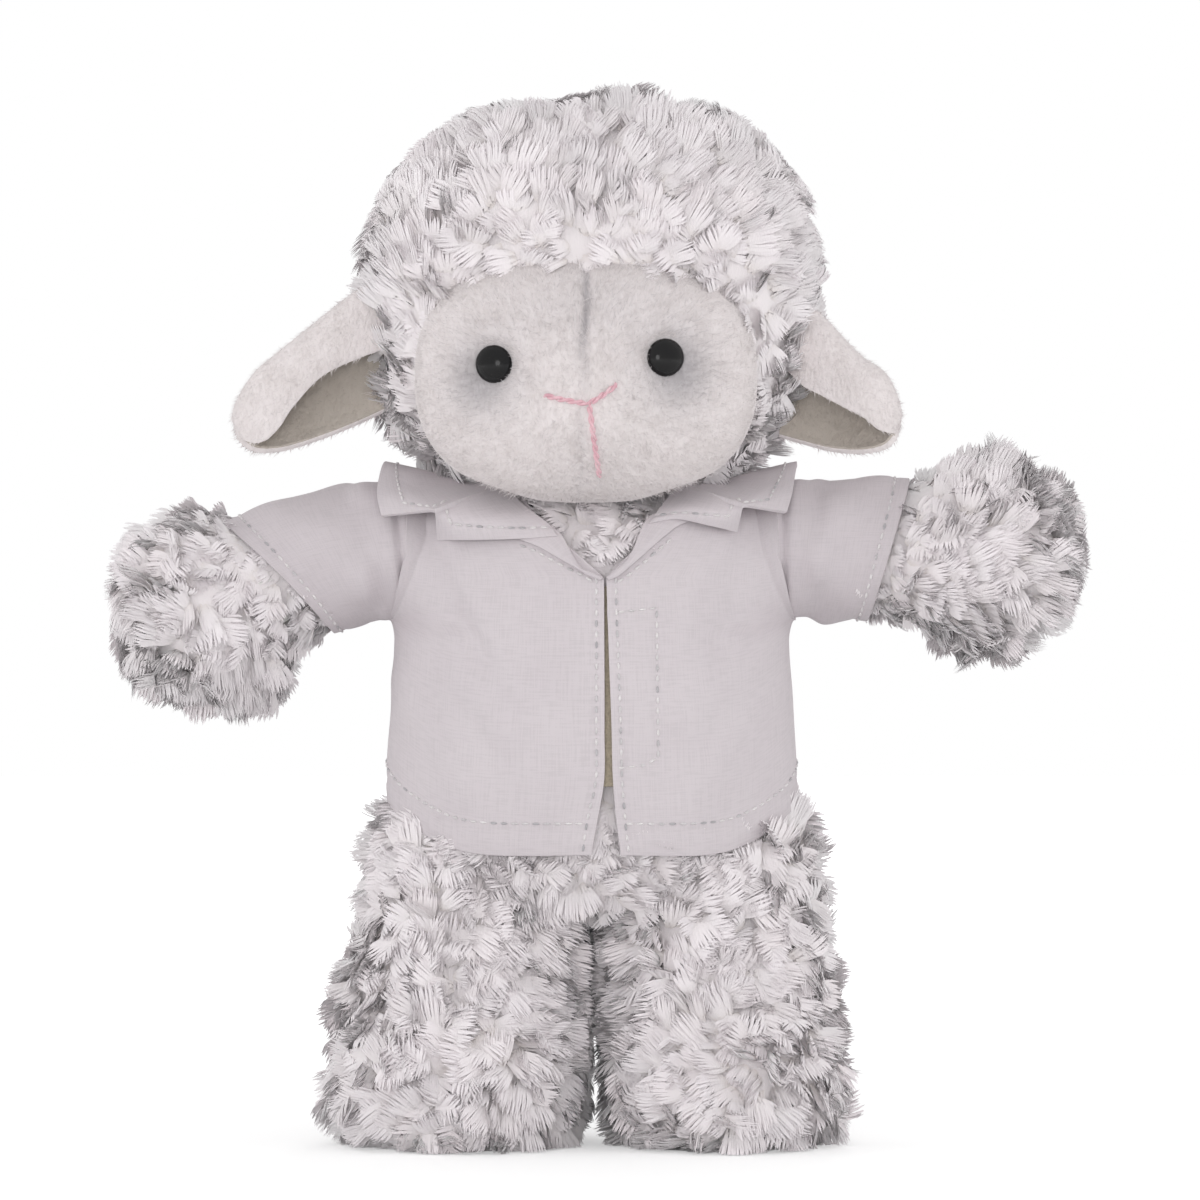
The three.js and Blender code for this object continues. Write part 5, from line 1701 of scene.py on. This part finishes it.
def coat_back(u, v):
    angle = mix(SIDE_SEAM, 2 * math.pi - SIDE_SEAM, u)
    hem = hem_height(angle)
    level = mix(level_at(hem), NECK_LEVEL, v)
    height = table_curve(COAT, 3, level)
    points = coat_point(angle, level, turned_edge(height - hem, HEM_LINE))
    return to_armhole(points, np.where(u < 0.5, 1, -1), level, np.abs(2 * u - 1), 1)


# %% [markdown]
# The cotton is a plain weave, slightly slubby: threads run both ways with the cut, so its
# pattern lies on each piece's own flat cut, in metres. The cloth is matt, with a faint fuzz.

# %% Cotton and thread
def woven(tree, across, along, detail=2.0):
    place = node(tree, "ShaderNodeTexCoord").outputs["UV"]
    mapping = node(tree, "ShaderNodeMapping")
    mapping.inputs["Scale"].default_value = (across, along, 1)
    texture = node(tree, "ShaderNodeTexNoise")
    texture.inputs["Scale"].default_value = 1.0
    texture.inputs["Detail"].default_value = detail
    link(tree, (place, mapping.inputs["Vector"]), (mapping.outputs[0], texture.inputs["Vector"]))
    return texture.outputs["Fac"]


def add_up(tree, first, second):
    made = node(tree, "ShaderNodeMath", operation="ADD")
    link(tree, (first, made.inputs[0]), (second, made.inputs[1]))
    return made.outputs[0]


# where the sum of the two thread patterns turns from dark to plain to light
THREAD_TONES = ((0.8, 0.955), (1.0, 1.0), (1.0, 1.025))


def cotton_material(name, colour, strength=0.35):
    material, tree, shader = principled(name, colour, 0.9, sheen=0.15, specular=0.15)
    threads = add_up(tree, woven(tree, 3400, 170), woven(tree, 170, 3400))
    thread_tone = ramp(tree, threads, *(
        (spot, tuple(value * tone for value in colour)) for spot, tone in THREAD_TONES))
    cloudy = ramp(tree, noise(tree, 60, 3.0), (0.3, (0.965, 0.96, 0.965)), (0.7, (1, 1, 1)))
    link(tree, (multiply_colour(tree, thread_tone, cloudy), shader.inputs["Base Color"]))
    bump(tree, shader, threads, strength, 0.00012)
    return material


COTTON_COLOUR = (0.645, 0.595, 0.617)
COTTON = cotton_material("white_cotton", COTTON_COLOUR)
# painted shade: the same cotton, painted darker on the sleeves for the shade they fall into
SHADED_SLEEVE_COTTON = cotton_material("sleeve_cotton", (0.61, 0.56, 0.582))
THREAD = fleece_material("white_thread", (0.80, 0.77, 0.77), (0.90, 0.87, 0.875), scale=4000)


def face_outwards(piece, middle):
    """Flips a sheet whose faces look towards a middle, in mm."""
    faces = piece.data.polygons
    centres = np.array([face.center for face in faces]) / MM - middle
    normals = np.array([face.normal for face in faces])
    if (centres * normals).sum() < 0:
        edit(piece, bpy.ops.mesh.flip_normals)


def cloth(name, columns, rows, place, flat, middle, wall=CLOTH, material=COTTON, tube=False):
    """A sheet of cloth on place(u, v), with its thickness inwards and soft rims. The two sides
    of a tube are welded together."""
    piece = grid_piece(name, columns, rows, place, flat=np.array(flat) * MM)
    if tube:
        edit(piece, lambda: bpy.ops.mesh.remove_doubles(threshold=0.01 * MM))
    face_outwards(piece, middle)
    thicken(piece, wall, CLOTH_RIM, 2)
    piece.data.materials.clear()
    piece.data.materials.append(material)
    return piece


TORSO_MIDDLE = np.array([0, TORSO_Y, 115])
FRONT_FLAT = (86, 80)
BACK_FLAT = (150, 80)
fronts = {
    side: cloth("coat_front_cloth_" + side, 110, 120, coat_front(side), FRONT_FLAT, TORSO_MIDDLE)
    for side in SIDES
}
back = cloth("coat_back_cloth", 180, 100, coat_back, BACK_FLAT, TORSO_MIDDLE)
print({name: len(piece.data.polygons) for name, piece in fronts.items()}, len(back.data.polygons))

# %% [markdown]
# The rows of stitches show as short dashes of thread whose ends dip into the cloth. One dash is
# modelled from a small sphere, and copies of it are laid along lines on a surface.

# %% Stitches
DASH_LENGTH = 1.75
DASH_PITCH = 2.55
DASH_RADIUS = 0.32
DASH_LIFT = 0.12


def model_dash():
    piece = add("uv_sphere", segments=6, ring_count=6, radius=1)
    piece.rotation_euler = (0, math.pi / 2, 0)
    bpy.ops.object.transform_apply(rotation=True)
    points = np.array([v.co for v in piece.data.vertices])
    faces = [list(face.vertices) for face in piece.data.polygons]
    bpy.data.objects.remove(piece)
    points[:, 2] -= 0.5 * np.abs(points[:, 0]) ** 3
    blocks = [np.array([f for f in faces if len(f) == count]) for count in (3, 4)]
    return points, blocks


DASH, DASH_FACES = model_dash()


def line_on(surface, spots, middle):
    """Points and outward normals along a line of (a, b) spots on surface(a, b)."""
    spots = np.array(spots, float)
    share = np.linspace(0, len(spots) - 1, 60 * (len(spots) - 1) + 1)
    a, b = (np.interp(share, np.arange(len(spots)), spots[:, i]) for i in (0, 1))
    span = np.ptp(spots, axis=0).max() * 0.002 + 1e-4
    across = surface(a + span, b) - surface(a - span, b)
    upward = surface(a, b + span) - surface(a, b - span)
    points = surface(a, b)
    normals = unit(np.cross(across, upward))
    away = ((points - middle) * normals).sum(1, keepdims=True)
    return points, normals * np.sign(away)


def at_runs(where, run, values):
    """Rows of values, given at distances along a line, at other distances along it."""
    return np.stack([np.interp(where, run, values[:, i]) for i in range(3)], 1)


def sew(name, lines):
    """One mesh of dashes laid along the lines."""
    made = []
    for points, normals in lines:
        steps = np.linalg.norm(np.diff(points, axis=0), axis=1)
        run = np.concatenate([[0], np.cumsum(steps)])
        spots = np.arange(DASH_PITCH / 2, run[-1], DASH_PITCH)
        centre, normal = at_runs(spots, run, points), unit(at_runs(spots, run, normals))
        along = unit(at_runs(spots + 0.3, run, points) - at_runs(spots - 0.3, run, points))
        side = np.cross(normal, along)
        dash = (along[:, None] * (DASH[:, 0] * DASH_LENGTH / 2)[:, None]
                + side[:, None] * (DASH[:, 1] * DASH_RADIUS)[:, None]
                + normal[:, None] * (DASH[:, 2] * DASH_RADIUS + DASH_LIFT)[:, None])
        made.append(centre[:, None] + dash)
    made = np.concatenate(made)
    offsets = np.arange(len(made))[:, None, None] * len(DASH)
    faces = [(block[None] + offsets).reshape(-1, block.shape[1]) for block in DASH_FACES]
    tone = np.repeat(np.random.default_rng(5).random(len(made)), len(DASH))
    piece = mesh_piece(name, made.reshape(-1, 3), faces, along=1, tone=tone)
    piece.data.materials.append(THREAD)
    smooth_shade(piece)
    print("  ", name, len(made), "stitches")
    return piece


def hang_with_front(piece):
    """Bakes the piece's placement into its mesh."""
    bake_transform(piece)


NECK_STITCHES = {
    "left": [(5.6, 135.2), (7.6, 136.3), (12.0, 139.8), (15.6, 143.0), (20.0, 146.6)],
    "right": [(0.4, 135.4), (-2.4, 137.2), (-5.6, 138.6), (-10.0, 141.0), (-13.6, 142.9),
              (-17.6, 144.4)],
}
HEM_STITCHES = [(0.02, 0.062), (0.35, 0.062), (0.7, 0.068), (0.995, 0.085)]
BOX_STITCHES = [(5.6, 128.2), (15.3, 129.3), (15.7, 94), (12.4, 92.1), (4.8, 91.2)]
stitches = {}
for side, sign in SIDES.items():
    place = coat_front(side)
    edge = EDGE_LINE[side] / 78
    lines = [line_on(place, HEM_STITCHES, TORSO_MIDDLE),
             line_on(place, [(edge, 0.004), (edge, 0.553)], TORSO_MIDDLE)]
    if side == "left":
        lines.append(line_on(on_coat, BOX_STITCHES, TORSO_MIDDLE))
    lines.append(line_on(on_coat, NECK_STITCHES[side], TORSO_MIDDLE))
    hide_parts("coat_front_" + side)
    hang_with_front(fronts[side])
    stitches[side] = sew("front_stitches_" + side, lines)
    hang_with_front(stitches[side])

back_line = [(0.005, 0.08), (0.5, 0.062), (0.995, 0.08)]
back_stitches = sew("back_stitches", [line_on(coat_back, back_line, TORSO_MIDDLE)])
for piece in (back, back_stitches):
    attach(piece, "torso")
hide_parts("coat_back")

# %% [markdown]
# A sleeve is a tube of cloth round the arm. It starts inside the armhole, on the shoulder's
# ball, and ends in a slanting cuff that is turned under and stitched. It follows the arm, and
# a few slack waves run round it.

# %% Sleeves
SLEEVE_RADIUS = 16.7
SLEEVE_SEAT = 7.5
SLEEVE_ROUND = 106
CUFF_LINE = 3.0


def sleeve_surface(side):
    own, sign = ARMS[side], SIDES[side]

    def place(u, v):
        angle = 2 * np.pi * u
        top, front = np.cos(angle), np.sin(angle)
        reach = own["cuff"] + own["slant"] * top
        along = mix(-SLEEVE_SEAT, reach, v)
        centre, upward = arm_spot(side, along)
        slack = smooth(0, 9, along) * smooth(0, 5, reach - along)
        near_seam = 1 + 1.9 * np.exp(-((along - 6) / 6.0) ** 2)
        wave = near_seam * (0.45 * np.sin(3 * angle + along / 3.4 + sign)
                            + 0.35 * np.sin(5 * angle - along / 4.3))
        wave = np.where(wave < 0, 0.4 * wave, wave)
        sag = -0.3 * np.exp(-((along - 5) / 3.0) ** 2) * (1 + np.cos(angle - 2.4)) / 2
        inside = np.sqrt(np.maximum(SLEEVE_RADIUS ** 2 - np.minimum(along, 0) ** 2, 0))
        dip = 1.2 * np.exp(-((along + 1.1) / 1.0) ** 2)
        outside = SLEEVE_RADIUS + 0.5 * smooth(0, 27, along) + slack * wave
        outside = outside + sag * smooth(0, 3, along)
        radius = np.where(along < 0, inside, outside) - dip
        radius = radius + turned_edge(reach - along, CUFF_LINE)
        return centre + radius[..., None] * (upward * top[..., None]
                                             + np.array([0, -1.0, 0]) * front[..., None])

    return place


for side, sign in SIDES.items():
    own = ARMS[side]
    place = sleeve_surface(side)
    flat = (SLEEVE_ROUND, own["cuff"] + SLEEVE_SEAT)
    middle = arm_spot(side, np.array([own["cuff"] / 2]))[0][0]
    tube = cloth("sleeve_cloth_" + side, 140, 60, place, flat, middle, material=SHADED_SLEEVE_COTTON,
                 tube=True)
    share = 1 - CUFF_LINE / flat[1]
    cuff_line = [(turn, share) for turn in (0.0, 0.25, 0.5, 0.75, 1.0)]
    cuff = sew("cuff_stitches_" + side, [line_on(place, cuff_line, middle)])
    for piece in (tube, cuff):
        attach(piece, "arm_" + side)
    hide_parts("sleeve_" + side)
    print(tube.name, len(tube.data.polygons), "faces")

# %% [markdown]
# The notched collar is what makes it a lab coat. The collar stands up round the neck, rolls
# over and falls outwards to pointed corners; the lapels are the fronts' facings turned back,
# and between the two is the notch. The collar is laid between its neck seam and the outer edge
# that was read off the photograph; its front ends lie along the lapels' upper seam.

# %% Collar
COLLAR_START = math.radians(43)
COLLAR_SEAM = dict(width=30.4, depth=26.4, z=159.4)
ROLL_Z = 162
# share round the neck, then x, y, z of the outer edge: the sheep's left, then its right
COLLAR_BACK = [
    (0.158, 47, 15, 162), (0.25, 38, 30, 156), (0.368, 20, 40, 150.5), (0.5, 0, 43.6, 149),
]
COLLAR_EDGES = {
    "left": [(0, 46.3, -17.2, 152.2), (0.029, 47.6, -12.5, 156.5), (0.066, 48.6, -4, 161),
             (0.095, 49.3, 3, 164.3)] + COLLAR_BACK,
    "right": [(0, 50.1, -15.5, 151.4), (0.029, 51.2, -11.5, 156), (0.066, 51, -3.5, 161),
              (0.095, 50.2, 3, 164.3)] + COLLAR_BACK,
}
NOTCHES = {"left": (35.9, -25.6, 153.8), "right": (37.2, -25.4, 152.6)}
NOTCH_SHARE = 0.62


def collar_seam(angle):
    x, y = oval(angle, COLLAR_SEAM["width"], COLLAR_SEAM["depth"], 2)
    return np.stack([x, TORSO_Y + y, COLLAR_SEAM["z"] + 0 * x], -1)


def collar_half(side, u, v):
    """u from 0 at the front end to 0.5 at the middle of the back, v from seam to outer edge."""
    mirror = np.array([SIDES[side], 1, 1.0])
    seam = collar_seam(mix(COLLAR_START, 2 * math.pi - COLLAR_START, u))
    outer = np.stack([table_curve(COLLAR_EDGES[side], key, u) for key in (1, 2, 3)], -1)
    roll = mix(seam, outer, 0.75)
    roll[..., 2] = np.maximum(ROLL_Z, outer[..., 2])
    t = v[..., None]
    rolled = (1 - t) ** 2 * seam + 2 * t * (1 - t) * roll + t * t * outer
    notch = np.array(NOTCHES[side])
    share = np.clip(v / NOTCH_SHARE, 0, 1)[..., None]
    past = np.clip((v - NOTCH_SHARE) / (1 - NOTCH_SHARE), 0, 1)[..., None]
    gorge = mix(mix(seam, notch, share), outer, past)
    gorge[..., 1] -= 1.6 * np.sin(np.pi * v)
    points = mix(gorge, rolled, smooth(0, 0.13, u)[..., None])
    return points * mirror


def collar_surface(u, v):
    u, v = np.broadcast_arrays(np.clip(u, 0, 1), np.clip(v, 0, 1))
    left = collar_half("left", np.minimum(u, 0.5), v)
    right = collar_half("right", np.minimum(1 - u, 0.5), v)
    points = np.where((u <= 0.5)[..., None], left, right)
    distance = np.minimum((1 - v) * 25, np.minimum(u, 1 - u) * 190)
    lift = turned_edge(distance, 4.4) * smooth(0.2, 0.6, v)
    return points + unit(points - np.array([0, 3, 145])) * lift[..., None]


COLLAR_FLAT = (190, 26)
COLLAR_MIDDLE = np.array([0, 3, 140])
collar = cloth("collar_cloth", 260, 44, collar_surface, COLLAR_FLAT, COLLAR_MIDDLE, wall=1.1)
collar_line = [(0.026, 0.5), (0.024, 0.82), (0.06, 0.824), (0.2, 0.824), (0.5, 0.824),
               (0.8, 0.824), (0.94, 0.824), (0.976, 0.82), (0.974, 0.5)]
collar_stitches = sew("collar_stitches", [line_on(collar_surface, collar_line, COLLAR_MIDDLE)])
for piece in (collar, collar_stitches):
    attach(piece, "torso")
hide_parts("collar")
print(collar.name, len(collar.data.polygons), "faces")

# %% [markdown]
# Each lapel is a patch between four lines: its lower edge, the free outer edge up to the notch,
# the seam under the collar and the edge of the V. A narrow band of the same facing runs on down
# the V to the closure.

# %% Lapels
LAPEL_LOWER = {
    "left": [(13.6, 149.4), (20, 150.3), (27, 149.0), (34.6, 147.3)],
    "right": [(-8.2, 146.4), (-16.9, 145.7), (-27, 145.4), (-37.0, 145.4)],
}
LAPEL_V = {
    "left": [(13.6, 149.4), (15.2, 151.6), (17.8, 155.0)],
    "right": [(-8.2, 146.4), (-10.3, 149.3), (-16.4, 153.6)],
}
V_EDGE = {
    "left": [(3.3, 136.6), (5.3, 138.1), (8.3, 140.7), (10.3, 144.5), (12.4, 149.5),
             (14.6, 151.6)],
    "right": [(2.6, 136.6), (-0.3, 138.0), (-2.9, 139.2), (-5.7, 144.0), (-7.4, 146.9),
              (-10.3, 149.3)],
}
V_SEAM = {
    "left": [(4.0, 135.9), (6.3, 136.9), (10.7, 140.6), (14.5, 144.0), (19.5, 148.2),
             (23.5, 150.2)],
    "right": [(2.0, 135.8), (-1.2, 137.2), (-4.8, 139.3), (-9.2, 141.9), (-12.6, 143.8),
              (-17.2, 145.6)],
}


def lapel_surface(side):
    sign = SIDES[side]
    neck = collar_seam(COLLAR_START) * np.array([sign, 1, 1.0])
    notch = np.array(NOTCHES[side]) * np.array([sign, 1, 1.0])

    def lower(u):
        return on_coat(*along_line(LAPEL_LOWER[side], u), lift=1.5 + 1.1 * smooth(0, 1, u))

    def v_edge(v):
        x, z = along_line(LAPEL_V[side], np.minimum(1, v / 0.7))
        lying = on_coat(x, z, lift=1.5)
        return mix(lying, neck, smooth(0.55, 1, v)[..., None])

    def place(u, v):
        u, v = np.broadcast_arrays(np.clip(u, 0, 1), np.clip(v, 0, 1))
        a, b = u[..., None], v[..., None]
        start, corner = lower(np.zeros(1))[0], lower(np.ones(1))[0]
        upper = mix(neck, notch, a)
        upper[..., 1] -= 1.0 * np.sin(np.pi * u)
        outer = mix(corner, notch, b)
        ruled = mix(lower(u), upper, b) + mix(v_edge(v), outer, a)
        corners = mix(mix(start, corner, a), mix(neck, notch, a), b)
        points = ruled - corners
        distance = np.minimum((1 - u) * 29, v * mix(17, 8.5, u))
        swell = 0.8 * np.sin(np.pi * u) * np.sin(np.pi * v) + turned_edge(distance, 4.3)
        points[..., 1] -= swell + 0.25
        return points

    return place


def band_surface(side):
    def place(u, v):
        x0, z0 = along_line(V_EDGE[side], v)
        x1, z1 = along_line(V_SEAM[side], v)
        bulge = 1.15 + 0.35 * np.sin(np.pi * u)
        return on_coat(mix(x0, x1, u), mix(z0, z1, u), lift=bulge)

    return place


CHEST_MIDDLE = np.array([0, 10, 130])
for side in SIDES:
    wing_place, band_place = lapel_surface(side), band_surface(side)
    wing = cloth("lapel_wing", 70, 44, wing_place, (30, 14), CHEST_MIDDLE, wall=1.0)
    band = cloth("facing_band", 16, 60, band_place, (6, 22), CHEST_MIDDLE, wall=0.9)
    lapel = join_pieces("lapel_cloth_" + side, wing, band)
    wing_line = [(0.855, 0.98), (0.852, 0.5), (0.6, 0.38), (0.3, 0.3), (0.04, 0.26)]
    rows = [line_on(wing_place, wing_line, CHEST_MIDDLE)]
    lapel_stitches = sew("lapel_stitches_" + side, rows)
    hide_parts("facing_" + side)
    for piece in (lapel, lapel_stitches):
        hang_with_front(piece)
    print(lapel.name, len(lapel.data.polygons), "faces")

# %% [markdown]
# The coat closes with hook-and-loop tape: a stiff hook strip inside the left front, under the
# stitched box, and a wider soft loop strip on the right front, which shows beige in the gap.

# %% Hook and loop tapes
TAPES = {
    "hook": dict(side="left", x=(5.2, 15.7), z=(91, 129), lift=-0.95,
                 colour=(0.60, 0.56, 0.53), grain=2600),
    "loop": dict(side="right", x=(-3.4, 12.1), z=(87, 134.5), lift=-1.9,
                 colour=(0.60, 0.52, 0.40), grain=1500),
}
TAPE_WALL = 0.6


def tape_material(name, colour, grain_scale):
    material, tree, shader = principled(name, colour, 0.9, sheen=0.3, specular=0.2)
    dark = tuple(0.72 * value for value in colour)
    grain = noise(tree, grain_scale, 4.0)
    link(tree, (ramp(tree, grain, (0.3, dark), (0.65, colour)), shader.inputs["Base Color"]))
    bump(tree, shader, grain, 0.8, 0.0003)
    return material


def tape_surface(own):
    return lambda u, v: on_coat(mix(*own["x"], u), mix(*own["z"], v), lift=own["lift"])


for kind, own in TAPES.items():
    x, z = own["x"], own["z"]
    flat = (x[1] - x[0], z[1] - z[0])
    material = tape_material(kind + "_tape", own["colour"], own["grain"])
    tape = cloth(kind + "_tape", 16, 50, tape_surface(own), flat, TORSO_MIDDLE, wall=TAPE_WALL,
                 material=material)
    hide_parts(kind + "_strip")
    hang_with_front(tape)
    print(tape.name, flat, "mm")

# %% [markdown]
# Inside, the toy is filled with loose white fibre, and plastic washers hold the eyes behind the
# cloth. These solids come from the CAD model as they are and only get their materials.

# %% Filling and washers
def plain_material(name, low, high, scale, roughness):
    material, tree, shader = principled(name, high, roughness)
    grain = noise(tree, scale, 5.0)
    link(tree, (ramp(tree, grain, (0.35, low), (0.65, high)), shader.inputs["Base Color"]))
    bump(tree, shader, grain, 0.4, 0.0004)
    return material


FIBRE = plain_material("loose_fibre", (0.74, 0.73, 0.71), (0.86, 0.85, 0.83), 260, 0.95)
WASHER = plain_material("moulded_washer", (0.62, 0.62, 0.62), (0.70, 0.70, 0.70), 900, 0.45)
for name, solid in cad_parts.items():
    if "stuffing" in name or "washer" in name:
        solid.data.materials.clear()
        solid.data.materials.append(WASHER if "washer" in name else FIBRE)
        print(name, solid.data.materials[0].name)
